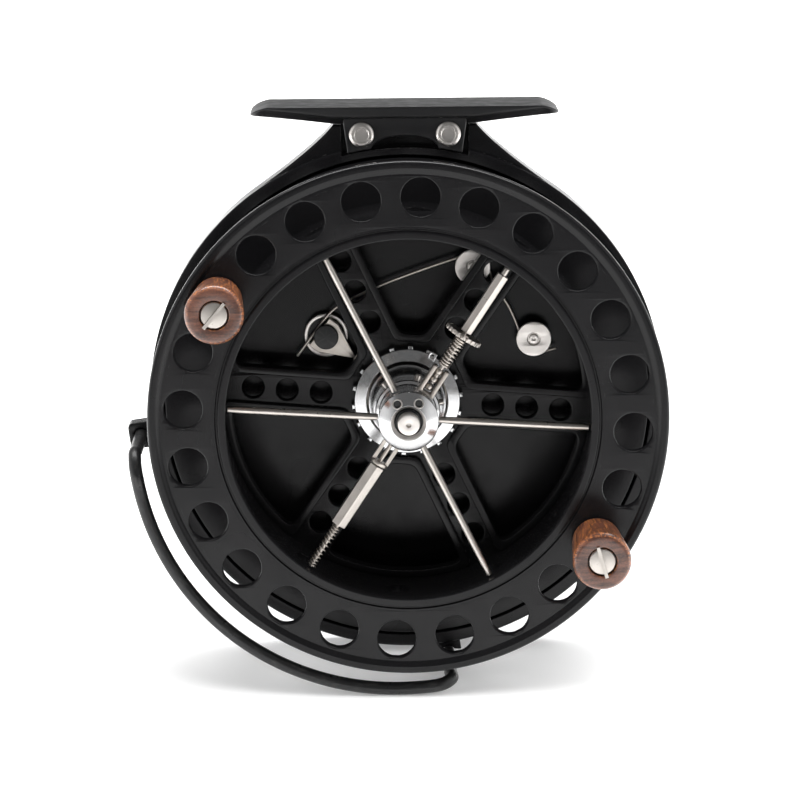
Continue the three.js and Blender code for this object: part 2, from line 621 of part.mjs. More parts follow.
piece(works, "ratchet_wheel", plate(withHole(toothShape, 5), REAR_Y + GAP, FLANGE_FRONT - GAP, 6), STEEL);
for (const [name, bearing] of [["front", FRONT_BEARING], ["rear", REAR_BEARING]]) {
  piece(works, `bearing_${name}_balls`, buildBalls(bearing), STEEL);
  piece(works, `bearing_${name}_outer`, tube(bearing.r[2], bearing.r[3], bearing.y0, bearing.y1), CHROME);
}

// ---------------------------------------------------------------- drum: spokes, regulator and release
const SPOKE_R = 0.8;
const SPOKE_ENDS = [BARREL.front + GAP, LIP_R - GAP];
const plainSpokes = [0, 2, 3, 5].map((i) => SPOKE_ANGLE + (i * 360) / SPOKE_COUNT);
plainSpokes.forEach((angle, i) => piece(spokeGroup(angle), `spoke_${i + 1}`, bar(SPOKE_R, ...SPOKE_ENDS, 12), NICKEL));

const regulator = spokeGroup(REGULATOR_ANGLE);
const WHEEL = { y0: 21.6, y1: 22.6, r: 4.35 };
const rod = bar(0.6, 9.4, WHEEL.y1 + 0.4, 10).add(hexBar(2.6, WHEEL.y1 + GAP, 37.9));
piece(regulator, "regulator_rod", rod.add(bar(0.75, 37.8, SPOKE_ENDS[1], 10)), NICKEL);
const wheelShape = withHole(toothedShape(20, [[4.35, 0.05], [4.35, 0.55], [4, 0.6], [4, 1]]), 0.9);
piece(regulator, "regulator_wheel", plate(wheelShape, WHEEL.y0, WHEEL.y1, 3), NICKEL);
const fork = block([-1.5, SPOKE_ENDS[0], -1.95], [1.5, 13.4, 1.95]).subtract(block([-2, 8.8, -0.9], [2, 14, 0.9]));
const brakePin = bar(0.7, SPINDLE.thin + GAP, SPOKE_ENDS[0] + 0.1, 10);
piece(regulator, "brake_fork", fork.add(brakePin), NICKEL);
piece(regulator, "regulator_spring", wire(new Coil(1.2, 13.95, 21.05, 9), 0.25, 63, 2), STEEL);

const release = spokeGroup(RELEASE_ANGLE);
const SLEEVE = [12.5, 28.4];
const RELEASE_ROD_R = 0.5;
const legs = [-1, 1].map((side) => {
  const sides = [side * 1.2, side * 2].sort((a, b) => a - b);
  return block([-0.7, SPOKE_ENDS[0], sides[0]], [0.7, 11.6, sides[1]]);
});
const collar = bar(2.1, 11.4, SLEEVE[0] - GAP, 16);
const bolt = bar(0.5, SPINDLE.groove + GAP, 11.6, 10);
piece(release, "release_fork", legs.reduce((sum, leg) => sum.add(leg), collar.add(bolt)), NICKEL);
piece(release, "release_sleeve", hexBar(3.4, ...SLEEVE).subtract(bar(1, 14, SLEEVE[1] + 1, 10)), NICKEL);
piece(release, "release_rod", bar(RELEASE_ROD_R, 18, SPOKE_ENDS[1], 10), STEEL);
piece(release, "release_spring", wire(new Coil(0.9, SLEEVE[1] + 0.6, SPOKE_ENDS[1] - 0.3, 12), 0.2, 84, 2), STEEL);

// ---------------------------------------------------------------- drum: handles
const GRIP = { base: -1.2, front: -20, baseR: 5.4, frontR: 6.35, bore: 2.6 };

function buildGrip() {
  return ring([
    [GRIP.bore, GRIP.base], [GRIP.baseR - 0.4, GRIP.base], [GRIP.baseR, GRIP.base - 0.5],
    [GRIP.frontR, GRIP.front + 1], [GRIP.frontR - 0.7, GRIP.front], [3.2, GRIP.front], [3.2, GRIP.front + 2],
    [GRIP.bore, GRIP.front + 2],
  ]);
}

function buildHandlePost() {
  const head = [GRIP.front + 0.3, GRIP.front + 1.7];
  const post = bar(2.9, ...head).add(bar(HANDLE_STUD, head[1] - 0.1, FLANGE_BACK_Y - 0.2, 16)).add(bar(3.6, -0.9, -0.3));
  return post.subtract(block([-3, head[0] - 1, -0.35], [3, head[0] + 0.6, 0.35]));
}

["upper", "lower"].forEach((name, i) => {
  const [x, z] = polar(HANDLE_R, HANDLE_ANGLES[i]);
  const group = new THREE.Group();
  group.position.set(x, 0, z);
  works.add(group);
  piece(group, `handle_post_${name}`, buildHandlePost(), NICKEL);
  piece(group, `handle_bush_${name}`, tube(HANDLE_STUD + GAP, GRIP.bore - GAP, GRIP.front + 2.2, GRIP.base), BRASS);
  piece(group, `handle_grip_${name}`, buildGrip(), ROSEWOOD);
});

export default reel;
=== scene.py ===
# %% [markdown]
# # A centrepin fishing reel, dressed for a close look
# A centrepin reel is a wide drum that spins freely on one fixed pin. This file takes the plain packed
# model of such a reel and gives every piece its fine surface and its finish. It reads like a notebook:
# each step first says what the piece is on the real reel, then makes it in a short cell.

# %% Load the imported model
import json
import math
import bmesh
import bpy
import numpy as np
from mathutils import Matrix, Vector
from mathutils.geometry import tessellate_polygon


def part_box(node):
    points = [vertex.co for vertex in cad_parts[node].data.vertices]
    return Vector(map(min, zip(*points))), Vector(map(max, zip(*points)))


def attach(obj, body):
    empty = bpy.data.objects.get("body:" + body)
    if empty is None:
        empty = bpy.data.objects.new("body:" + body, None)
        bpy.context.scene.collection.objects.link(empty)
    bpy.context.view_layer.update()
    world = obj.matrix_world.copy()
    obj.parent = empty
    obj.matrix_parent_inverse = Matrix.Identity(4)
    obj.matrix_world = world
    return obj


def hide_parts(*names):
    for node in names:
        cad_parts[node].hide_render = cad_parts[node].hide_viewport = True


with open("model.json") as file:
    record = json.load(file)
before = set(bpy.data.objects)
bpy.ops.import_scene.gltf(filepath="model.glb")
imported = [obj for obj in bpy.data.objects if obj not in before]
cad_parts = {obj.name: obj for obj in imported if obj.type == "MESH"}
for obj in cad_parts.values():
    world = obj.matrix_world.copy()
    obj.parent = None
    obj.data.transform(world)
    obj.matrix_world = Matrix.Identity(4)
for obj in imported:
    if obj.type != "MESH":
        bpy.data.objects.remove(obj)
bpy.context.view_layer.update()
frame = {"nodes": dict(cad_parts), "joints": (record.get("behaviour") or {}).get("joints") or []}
print("pieces in the packed model:", len(frame["nodes"]))

# %% [markdown]
# ## Working round the spindle
# Nearly everything on a reel is turned about its spindle, so shapes are easiest to write down in
# millimetres from the spindle, with Y along it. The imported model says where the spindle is: in the middle
# of the hub barrel. `span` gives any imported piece's box in those handy units, and all sizes come from it.

# %% The spindle's own frame, in millimetres
MM = 0.001
LIP = 0.5  # the front flange's raised edges stand this far in front of its face
barrel_low, barrel_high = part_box("hub_barrel")
flange_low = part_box("front_flange")[0]
barrel_middle = [(low + high) / 2 for low, high in zip(barrel_low, barrel_high)]
ORIGIN = np.array([barrel_middle[0], flange_low.y + LIP * MM, barrel_middle[2]])


def span(node):
    """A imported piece's lowest and highest corner, in millimetres from the spindle."""
    low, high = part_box(node)
    return (np.array(low) - ORIGIN) / MM, (np.array(high) - ORIGIN) / MM


def middle(node):
    """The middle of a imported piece's box, in millimetres from the spindle."""
    low, high = span(node)
    return (low + high) / 2


def polar(r, degrees):
    """X and Z of a point at radius r, at an angle from +X towards +Z. Both may be arrays."""
    turn = np.radians(degrees)
    return r * np.cos(turn), r * np.sin(turn)


print("spindle axis at x, z (mm):", np.round(ORIGIN[[0, 2]] / MM, 2))

# %% [markdown]
# ## Shells: points, faces and marks
# A `Shell` is a closed skin held as whole numpy arrays. Each corner of each face also carries a pair of
# flat coordinates called *marks*. On a lathe-turned piece the second one runs along the profile, so a
# material can draw the fine rings that a cutting tool leaves, whichever way the piece points.


# %% The Shell class
class Shell:
    """Points (n, 3) in millimetres, blocks of faces as index arrays, and marks at every face corner."""

    def __init__(self, points, faces, marks):
        self.points, self.faces, self.marks = points, faces, marks

    def __add__(self, other):
        shifted = [block + len(self.points) for block in other.faces]
        points = np.concatenate([self.points, other.points])
        return Shell(points, self.faces + shifted, self.marks + other.marks)

    def placed(self, matrix):
        """The same shell after a 4x4 matrix, whose lengths are in millimetres."""
        m = np.array(matrix)
        return Shell(self.points @ m[:3, :3].T + m[:3, 3], self.faces, self.marks)

    def at(self, x, y, z):
        return self.placed(Matrix.Translation((x, y, z)))


def turned_to(degrees):
    """A turn about the spindle from +X towards +Z."""
    return Matrix.Rotation(math.radians(-degrees), 4, "Y")


def grid_shell(points, wrap_rows=False, wrap_columns=True, stretch=None):
    """A grid of points (rows, columns, 3) as quads. Marks are the share round a row and the length down."""
    rows, columns = points.shape[:2]
    i, j = np.meshgrid(
        np.arange(rows if wrap_rows else rows - 1),
        np.arange(columns if wrap_columns else columns - 1),
        indexing="ij",
    )
    i2, j2 = (i + 1) % rows, (j + 1) % columns
    corners = [i * columns + j, i * columns + j2, i2 * columns + j2, i2 * columns + j]
    faces = np.stack(corners, -1).reshape(-1, 4)
    if stretch is None:
        steps = np.linalg.norm(np.roll(points, -1, 0) - points, axis=2).max(1)
        stretch = np.concatenate([[0], np.cumsum(steps)])
    share = np.arange(columns + 1) / columns
    marks = np.stack(
        [np.stack([share[j + a], stretch[i + b]], -1) for a, b in ((0, 0), (1, 0), (1, 1), (0, 1))], 2
    ).reshape(-1, 4, 2)
    return Shell(points.reshape(-1, 3), [faces], [marks])


# %% [markdown]
# ## Turned pieces
# A lathe makes a piece by turning a profile about an axis. Every corner of a real profile is broken by a
# small round, and those rounds catch the light, so `rounded` puts one on each corner before `turned`
# sweeps the profile about Y.


# %% Rounded profiles and turned shells
def rounded(profile, radius, closed=False, steps=4):
    """Each corner of a polyline becomes a curve: the quadratic that leaves and meets its two sides.

    The curve starts `radius` away from the corner, or nearly half the shorter side where that is less.
    """
    p = np.array(profile, float)
    before, after = np.roll(p, 1, 0) - p, np.roll(p, -1, 0) - p
    long_before = np.linalg.norm(before, axis=1, keepdims=True)
    long_after = np.linalg.norm(after, axis=1, keepdims=True)
    reach = np.minimum(np.broadcast_to(np.reshape(radius, (-1, 1)), (len(p), 1)),
                       0.48 * np.minimum(long_before, long_after))
    start = p + before / np.maximum(long_before, 1e-9) * reach
    end = p + after / np.maximum(long_after, 1e-9) * reach
    t = np.linspace(0, 1, steps + 1)[None, :, None]
    curve = (1 - t) ** 2 * start[:, None] + 2 * t * (1 - t) * p[:, None] + t**2 * end[:, None]
    if not closed:
        curve[0], curve[-1] = p[0], p[-1]
    return curve.reshape(-1, p.shape[1])


def turned(profile, radius=0.2, closed=False, steps=96):
    """Radius and height pairs turned about Y: x = r cos(a), y = height, z = r sin(a)."""
    profile = rounded(profile, radius, closed)
    turn = np.linspace(0, 2 * math.pi, steps, endpoint=False)
    r, y = profile[:, :1], profile[:, 1:]
    points = np.stack([r * np.cos(turn), y + 0 * turn, r * np.sin(turn)], -1)
    return grid_shell(points, wrap_rows=closed)


def tube(inner, outer, y0, y1, radius=0.2, steps=96):
    return turned([(inner, y0), (outer, y0), (outer, y1), (inner, y1)], radius, True, steps)


def bar(r, y0, y1, radius=0.2, steps=48):
    return turned([(0, y0), (r, y0), (r, y1), (0, y1)], radius, False, steps)


# %% [markdown]
# ## Plates cut to an outline
# Flanges, arms, ratchets and knurled wheels are flat plates with a shaped edge and holes. `plate` walks
# round each outline with a small rounded edge as its profile, and fills the two flat faces between the
# outlines. All outlines are drawn in X and Z.


# %% Plates with rounded edges
def circle(r, steps=48, x=0.0, z=0.0):
    cx, cz = polar(r, np.arange(steps) * 360 / steps)
    return np.stack([x + cx, z + cz], -1)


def signed_area(loop):
    following = np.roll(loop, -1, 0)
    return np.sum(loop[:, 0] * following[:, 1] - following[:, 0] * loop[:, 1]) / 2


def inward(loop):
    """The step at each corner that moves both its sides 1 mm to the left of the walk."""
    along = np.roll(loop, -1, 0) - loop
    along /= np.linalg.norm(along, axis=1, keepdims=True)
    left = np.stack([-along[:, 1], along[:, 0]], -1)
    both = left + np.roll(left, 1, 0)
    return both / np.maximum(np.sum(both**2, 1, keepdims=True) / 2, 0.35)


def plate(outline, holes, y0, y1, edge=0.2, steps=3):
    """A slab between y0 and y1. Its edge profile is a quarter round of radius `edge` on each side."""
    loops = [outline if signed_area(outline) > 0 else outline[::-1]]
    loops += [hole if signed_area(hole) < 0 else hole[::-1] for hole in holes]
    quarter = np.radians(np.linspace(0, 90, steps + 1))
    inset = edge * (1 - np.sin(quarter))
    depth = edge * (1 - np.cos(quarter))
    insets = np.concatenate([inset, inset[::-1]])
    heights = np.concatenate([y0 + depth, y1 - depth[::-1]])
    shell, face_loops, starts = None, [], []
    for loop in loops:
        ring = loop[None] + insets[:, None, None] * inward(loop)[None]
        levels = np.broadcast_to(heights[:, None], ring.shape[:2])
        points = np.stack([ring[..., 0], levels, ring[..., 1]], -1)
        side = grid_shell(points)
        starts.append((0 if shell is None else len(shell.points), len(loop), len(heights)))
        face_loops.append([Vector((x, z, 0)) for x, z in ring[0]])
        shell = side if shell is None else shell + side
    order = np.array(tessellate_polygon(face_loops))
    front = np.concatenate([start + np.arange(count) for start, count, _ in starts])
    back = np.concatenate([start + (rows - 1) * count + np.arange(count) for start, count, rows in starts])
    for index in (front, back):
        triangles = index[order]
        shell.faces.append(triangles)
        shell.marks.append(shell.points[triangles][..., [0, 2]])
    return shell


# %% [markdown]
# ## Wires and rods along a path
# A spring, a wire guard and a spoke are all a round section carried along a path. The section is kept from
# twisting by a reference direction given with the path, and each end closes in a low dome.


# %% Rods along a path
def unit(v):
    return v / np.linalg.norm(v, axis=-1, keepdims=True)


def rod(path, r, reference, sides=16, dome=0.35):
    """A circle of radius r at each point of a path, square to it, with two domed ends."""
    path = np.asarray(path, float)
    along = unit(np.gradient(path, axis=0))
    across = unit(np.cross(along, np.broadcast_to(reference, path.shape)))
    third = np.cross(across, along)
    lean = np.radians([90, 60, 30])
    begin = path[0] - along[0] * (dome * r * (np.sin(lean) - 1))[:, None]
    finish = path[-1] + along[-1] * (dome * r * (np.sin(lean[::-1]) - 1))[:, None]
    inner = path[1:-1]
    centres = np.concatenate([begin, inner, finish])
    pad = len(lean)
    index = np.concatenate([np.zeros(pad, int), np.arange(1, len(path) - 1), np.full(pad, len(path) - 1)])
    radii = r * np.concatenate([np.cos(lean), np.ones(len(inner)), np.cos(lean[::-1])])
    turn = np.linspace(0, 2 * math.pi, sides, endpoint=False)
    ring = np.cos(turn)[:, None] * across[index][:, None] + np.sin(turn)[:, None] * third[index][:, None]
    return grid_shell(centres[:, None] + ring * radii[:, None, None])


def smooth_path(points, count):
    """A centripetal Catmull-Rom curve through given points, sampled `count` times."""
    p = np.array(points, float)
    p = np.concatenate([[2 * p[0] - p[1]], p, [2 * p[-1] - p[-2]]])
    knots = np.concatenate([[0], np.cumsum(np.sqrt(np.linalg.norm(np.diff(p, axis=0), axis=1)))])
    t = np.linspace(knots[1], knots[-2] - 1e-9, count)
    k = np.clip(np.searchsorted(knots, t, "right") - 1, 1, len(p) - 3)

    def mix(a, b, ka, kb):
        share = ((t - knots[ka]) / (knots[kb] - knots[ka]))[:, None]
        return (1 - share) * a + share * b

    a1, a2, a3 = (mix(p[k + s], p[k + s + 1], k + s, k + s + 1) for s in (-1, 0, 1))
    b1, b2 = mix(a1, a2, k - 1, k + 1), mix(a2, a3, k, k + 2)
    return mix(b1, b2, k, k + 1)


# %% [markdown]
# ## From shell to piece
# `make` turns a shell into a Blender mesh in metres, joins its seams and poles, points its faces outwards
# and shades it smooth up to a crease angle. The weighted-normal modifier lets each large face keep its own
# direction, so a small rounded edge between two flats shows one clean highlight.


# %% Making pieces
CREASE = 40


def mesh_of(name, shell):
    mesh = bpy.data.meshes.new(name)
    faces = [face for block in shell.faces for face in block.tolist()]
    mesh.from_pydata(ORIGIN + shell.points * MM, [], faces)
    layer = mesh.uv_layers.new(name="marks")
    layer.data.foreach_set("uv", np.concatenate([block.reshape(-1) for block in shell.marks]))
    cleaned = bmesh.new()
    cleaned.from_mesh(mesh)
    bmesh.ops.remove_doubles(cleaned, verts=cleaned.verts, dist=1e-7)
    bmesh.ops.recalc_face_normals(cleaned, faces=cleaned.faces)
    cleaned.to_mesh(mesh)
    cleaned.free()
    return mesh


def object_of(name, mesh):
    obj = bpy.data.objects.new(name, mesh)
    bpy.context.scene.collection.objects.link(obj)
    return obj


def carve(obj, shell, how="DIFFERENCE"):
    """Cuts a shell out of a piece, or joins it on with how="UNION"."""
    tool = object_of("tool", mesh_of("tool", shell))
    step = obj.modifiers.new("carve", "BOOLEAN")
    step.operation, step.solver, step.object = how, "EXACT", tool
    bpy.context.view_layer.update()
    carved = bpy.data.meshes.new_from_object(obj.evaluated_get(bpy.context.evaluated_depsgraph_get()))
    obj.modifiers.clear()
    obj.data = carved
    bpy.data.objects.remove(tool)
    return obj


def make(name, shell, body, slot, material, *nodes, cuts=(), joins=(), crease=CREASE):
    """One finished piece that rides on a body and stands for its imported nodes."""
    obj = object_of(name, mesh_of(name, shell))
    for join in joins:
        carve(obj, join, "UNION")
    for cut in cuts:
        carve(obj, cut)
    obj.data.name = name
    obj.data.materials.clear()
    obj.data.materials.append(material)
    obj.data.shade_smooth()
    obj.data.set_sharp_from_angle(angle=math.radians(crease))
    weighted = obj.modifiers.new("weighted", "WEIGHTED_NORMAL")
    weighted.keep_sharp = True
    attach(obj, body)
    if nodes:
        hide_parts(*nodes)
    print(f"{name}: {len(obj.data.polygons)} faces")
    return obj

# %% [markdown]
# ## Finishes
# A finish is a small network of nodes round one principled shader. `Finish` keeps the network readable:
# `add` places a node and feeds its sockets, and a few short methods name the patterns used again and again.
# Patterns are laid out in millimetres round the spindle, so one unit of noise is one millimetre of metal.


# %% The Finish helper
class Finish:
    """A principled shader and the nodes that vary it. A constant is set on the shader's own socket."""

    def __init__(self, name, **sockets):
        self.material = bpy.data.materials.new(name)
        self.material.use_nodes = True
        self.tree = self.material.node_tree
        self.shader = self.tree.nodes["Principled BSDF"]
        self.drive(**sockets)
        coordinates = self.add("TexCoord", out="Object")
        shift = tuple(-ORIGIN / MM)
        self.place = self.add("Mapping", {"Vector": coordinates, "Scale": (1 / MM,) * 3, "Location": shift})
        self.marks = self.add("UVMap", uv_map="marks")

    def feed(self, socket, value):
        if isinstance(value, bpy.types.NodeSocket):
            self.tree.links.new(value, socket)
        else:
            socket.default_value = value

    def drive(self, **sockets):
        for name, value in sockets.items():
            self.feed(self.shader.inputs[name.replace("_", " ")], value)

    def add(self, kind, inputs=None, out=0, **settings):
        node = self.tree.nodes.new("ShaderNode" + kind)
        for key, value in settings.items():
            setattr(node, key, value)
        for key, value in (inputs or {}).items():
            self.feed(node.inputs[key], value)
        return node.outputs[out]

    def noise(self, scale, detail=2.0, vector=None, roughness=0.5):
        inputs = {"Vector": vector or self.place, "Scale": scale, "Detail": detail, "Roughness": roughness}
        return self.add("TexNoise", inputs)

    def stretched(self, vector, scale):
        return self.add("Mapping", {"Vector": vector, "Scale": scale})

    def between(self, value, low, high, start=0.3, stop=0.7):
        """Carries start..stop of a pattern to low..high, and holds it there."""
        inputs = {"Value": value, "From Min": start, "From Max": stop, "To Min": low, "To Max": high}
        return self.add("MapRange", inputs)

    def mixed(self, share, first, second):
        node = self.tree.nodes.new("ShaderNodeMix")
        node.data_type = "RGBA"
        self.feed(node.inputs[0], share)
        self.feed(node.inputs[6], first)
        self.feed(node.inputs[7], second)
        return node.outputs[2]

    def times(self, a, b):
        return self.add("Math", {0: a, 1: b}, operation="MULTIPLY")

    def plus(self, a, b):
        return self.add("Math", {0: a, 1: b}, operation="ADD")

    def tool_rings(self, per_mm=3.0):
        """The fine rings a lathe tool leaves: noise along the profile only."""
        height = self.add("SeparateXYZ", {0: self.marks}, out="Y")
        inputs = {"W": height, "Scale": per_mm, "Detail": 3.0, "Roughness": 0.6}
        return self.add("TexNoise", inputs, noise_dimensions="1D")

    def spindle_rings(self, per_mm=3.0):
        """The same rings on a flat plate: noise along the distance from the spindle."""
        flat = self.add("VectorMath", {0: self.place, 1: (1.0, 0.0, 1.0)}, operation="MULTIPLY")
        distance = self.add("VectorMath", {0: flat}, out="Value", operation="LENGTH")
        inputs = {"W": distance, "Scale": per_mm, "Detail": 3.0, "Roughness": 0.6}
        return self.add("TexNoise", inputs, noise_dimensions="1D")

    def edge(self, radius=0.22, start=0.02, stop=0.16):
        """1 on outer and inner corners, 0 on flats: how far a rounded normal turns from the true one."""
        soft = self.add("Bevel", {"Radius": radius * MM}, samples=6)
        true = self.add("NewGeometry", out="Normal")
        agree = self.add("VectorMath", {0: soft, 1: true}, out="Value", operation="DOT_PRODUCT")
        return self.between(agree, 1.0, 0.0, 1 - stop, 1 - start)

    def bump(self, height, strength, distance=0.05, under=None):
        inputs = {"Height": height, "Strength": strength, "Distance": distance * MM}
        if under is not None:
            inputs["Normal"] = under
        made = self.add("Bump", inputs)
        self.feed(self.shader.inputs["Normal"], made)
        return made


# %% [markdown]
# ### Black anodising
# The drum and backplate are aluminium with a black anodised skin: nearly black, smooth enough to mirror
# the room softly, with turning rings under the dye. Handling polishes the corners, where a little bare
# metal shows through in broken lines.


# %% Black anodising
def anodised(name, rings):
    f = Finish(name, Metallic=0.0, Specular_IOR_Level=0.24)
    cloud = f.noise(0.05, 3.0)
    worn = f.times(f.edge(), f.between(f.noise(0.9, 4.0), 0.0, 0.5, 0.52, 0.7))
    black = f.mixed(f.between(cloud, 0.0, 1.0), (0.0045, 0.0045, 0.005, 1), (0.007, 0.0068, 0.0072, 1))
    f.drive(Base_Color=f.mixed(worn, black, (0.16, 0.155, 0.15, 1)))
    smears = f.between(f.noise(0.12, 4.0, roughness=0.6), 0.15, 0.24)
    f.drive(Roughness=f.plus(smears, f.times(f.noise(14.0), 0.05)))
    pattern = f.spindle_rings(5.0) if rings == "spindle" else f.tool_rings(5.0)
    base = f.bump(f.noise(22.0, 2.0), 0.10, 0.02)
    f.bump(pattern, 0.10, 0.02, base)
    return f.material


ANODISED = anodised("black_anodised_turned", "marks")
ANODISED_PLATE = anodised("black_anodised_plate", "spindle")
print("anodised finishes made")

# %% [markdown]
# ### Black enamel and blacked steel
# The foot is a casting under sprayed enamel, with the faint orange-peel swell of paint. The guard's rod is
# steel under a thinner black coat that has rubbed along its length.


# %% Enamel and blacked steel
def enamel():
    f = Finish("black_enamel", Metallic=0.0, Specular_IOR_Level=0.35, Coat_Weight=0.1, Coat_Roughness=0.12)
    chips = f.times(f.edge(0.3), f.between(f.noise(0.8, 5.0), 0.0, 0.6, 0.56, 0.68))
    black = f.mixed(f.between(f.noise(0.08), 0, 1), (0.007, 0.007, 0.0077, 1), (0.0105, 0.0102, 0.0106, 1))
    f.drive(Base_Color=f.mixed(chips, black, (0.2, 0.19, 0.18, 1)))
    f.drive(Roughness=f.between(f.noise(0.3, 4.0), 0.28, 0.42))
    peel = f.bump(f.noise(1.6, 2.0), 0.12, 0.05)
    f.bump(f.noise(18.0, 2.0), 0.08, 0.02, peel)
    return f.material


def blacked():
    f = Finish("blacked_steel", Metallic=0.0, Specular_IOR_Level=0.4)
    streaks = f.noise(1.0, 4.0, f.stretched(f.marks, (14.0, 0.35, 1.0)))
    rubbed = f.between(streaks, 0.0, 1.0, 0.5, 0.75)
    f.drive(Base_Color=f.mixed(rubbed, (0.009, 0.009, 0.0095, 1), (0.03, 0.029, 0.028, 1)))
    f.drive(Roughness=f.between(f.noise(0.6, 4.0), 0.26, 0.42))
    f.bump(f.noise(12.0, 3.0), 0.12, 0.02)
    return f.material


ENAMEL = enamel()
BLACKED = blacked()

# %% [markdown]
# ### Bright metals
# Nickel plate, turned steel, polished chrome and brass differ in tint and in how tightly they mirror, so
# one function makes them all. The tool's rings sit in the bump, and a finger's haze varies the roughness.


# %% Bright metals
def bright(name, light, dark, smooth, hazy, rings=3.0, depth=0.12):
    f = Finish(name, Metallic=1.0)
    tint = f.between(f.noise(0.35, 4.0), 0.0, 1.0)
    grime = f.times(f.edge(0.25), f.between(f.noise(1.4, 4.0), 0.0, 0.5, 0.5, 0.75))
    metal = f.mixed(tint, (*dark, 1), (*light, 1))
    f.drive(Base_Color=f.mixed(grime, metal, (*[0.45 * c for c in dark], 1)))
    haze = f.between(f.noise(0.5, 4.0, roughness=0.65), smooth, hazy)
    f.drive(Roughness=f.plus(haze, f.times(f.tool_rings(rings), 0.06)))
    fine = f.bump(f.noise(16.0, 2.0), 0.05, 0.02)
    f.bump(f.tool_rings(rings * 1.7), depth, 0.02, fine)
    return f.material


NICKEL = bright("pale_nickel", (0.58, 0.54, 0.5), (0.5, 0.465, 0.43), 0.24, 0.34, 3.0, 0.06)
CHROME = bright("polished_chrome", (0.73, 0.73, 0.735), (0.66, 0.66, 0.665), 0.12, 0.2, 2.0, 0.04)
STEEL = bright("turned_steel", (0.56, 0.52, 0.475), (0.45, 0.41, 0.37), 0.24, 0.36, 3.0, 0.08)
SPUN = bright("spun_steel", (0.86, 0.82, 0.785), (0.77, 0.73, 0.69), 0.28, 0.38, 4.0, 0.1)
BRASS = bright("turned_brass", (0.78, 0.58, 0.26), (0.6, 0.42, 0.17), 0.2, 0.35)
print("bright metals made")

# %% [markdown]
# ### Rosewood
# Each handle is turned from rosewood and lacquered. Growth rings pass through the wood as nested sheets,
# so the grain is noise drawn out along the handle, warped a little, with short dark pores and a clear
# glossy coat over all. The sawn end of the wood is duller and greyer than its side.


# %% Lacquered rosewood
def rosewood():
    f = Finish("lacquered_rosewood", Roughness=0.38, Coat_Weight=0.5, Coat_Roughness=0.08, Coat_IOR=1.5)
    warp = f.add("VectorMath", {0: f.place, 1: f.noise(0.15, 2.0)}, operation="ADD")
    bands = f.noise(1.0, 4.0, f.stretched(warp, (0.14, 0.03, 1.1)), 0.6)
    streaks = f.noise(3.2, 4.0, f.stretched(warp, (0.6, 0.02, 1.0)), 0.65)
    pores = f.between(f.noise(7.0, 2.0, f.stretched(f.place, (0.7, 0.05, 1.0))), 0.0, 1.0, 0.6, 0.68)
    brown = f.mixed(f.between(bands, 0, 1, 0.34, 0.66), (0.03, 0.012, 0.009, 1), (0.18, 0.066, 0.04, 1))
    warm = f.mixed(f.between(streaks, 0, 0.85, 0.48, 0.62), brown, (0.42, 0.15, 0.045, 1))
    facing = f.add("SeparateXYZ", {0: f.add("NewGeometry", out="Normal")}, out="Y")
    dull = f.mixed(f.between(bands, 0, 1, 0.38, 0.62), (0.03, 0.012, 0.009, 1), (0.11, 0.046, 0.031, 1))
    grain = f.mixed(f.between(facing, 0.85, 0.0, -0.95, -0.6), warm, dull)
    f.drive(Base_Color=f.mixed(pores, grain, (0.02, 0.008, 0.006, 1)))
    low = f.bump(f.noise(0.6, 2.0), 0.1, 0.1)
    f.bump(pores, 0.12, 0.03, low)
    return f.material


ROSEWOOD = rosewood()
print("rosewood made")

# %% [markdown]
# ## The backplate
# The backplate is a shallow dish turned from solid, with a neck left standing at the top to carry the
# foot. The dish is one turned profile. The neck is a plate whose sides sweep out into the rim, and the two
# are joined as real metal would be, then the seat for the foot's tab and the check's slot are cut.

# %% Sizes of the backplate
plate_low, plate_high = span("backplate")
PLATE_R = plate_high[0]
RIM_Y, PLATE_Y = plate_low[1], plate_high[1]
NECK_TOP = plate_high[2]
FLOOR_Y = PLATE_Y - 2.5
RIM_IN = PLATE_R - 2.8
NECK_HALF = 16.0
TAB_Y = span("foot_screw_right")[0][1] + 1.3  # the front of the foot's tab, under the screw heads
NECK_Y = TAB_Y + 4.3
TAB_BOTTOM = PLATE_R - 0.9
pivot = middle("check_slider")
PAWL_X, PAWL_Z = pivot[0], pivot[2]
TO_HUB = math.degrees(math.atan2(-PAWL_Z, -PAWL_X))
travel = {joint["name"]: joint for joint in frame["joints"]}
SLIDE = travel["check_slide"]["range_m"][1] / MM
print("backplate radius, rim front, back (mm):", PLATE_R.round(2), RIM_Y.round(2), PLATE_Y.round(2))


# %% The neck's outline
def quadratic(a, b, c, steps=16):
    """The curve from a to c that b pulls: (1-t)^2 a + 2t(1-t) b + t^2 c."""
    t = np.linspace(0, 1, steps)[:, None]
    a, b, c = (np.array(point, float) for point in (a, b, c))
    return (1 - t) ** 2 * a + 2 * t * (1 - t) * b + t**2 * c


def mirrored(half):
    """A path given for +X, then the same for -X walked back, as one closed outline."""
    return np.concatenate([half, (half * (-1, 1))[::-1]])


def arc(r, start, stop, steps=24):
    return np.stack(polar(r, np.linspace(start, stop, steps)), -1)


def neck_outline():
    """The neck's flared sides and flat top, closed along an arc hidden inside the rim."""
    foot_of_flare = (33.5, 47.3)
    side = quadratic(foot_of_flare, (NECK_HALF + 3.7, 57.1), (NECK_HALF, NECK_TOP), 24)
    lean = math.degrees(math.atan2(foot_of_flare[0], foot_of_flare[1]))
    return np.concatenate([mirrored(side), arc(PLATE_R - 1.4, 90 + lean, 90 - lean, 40)])


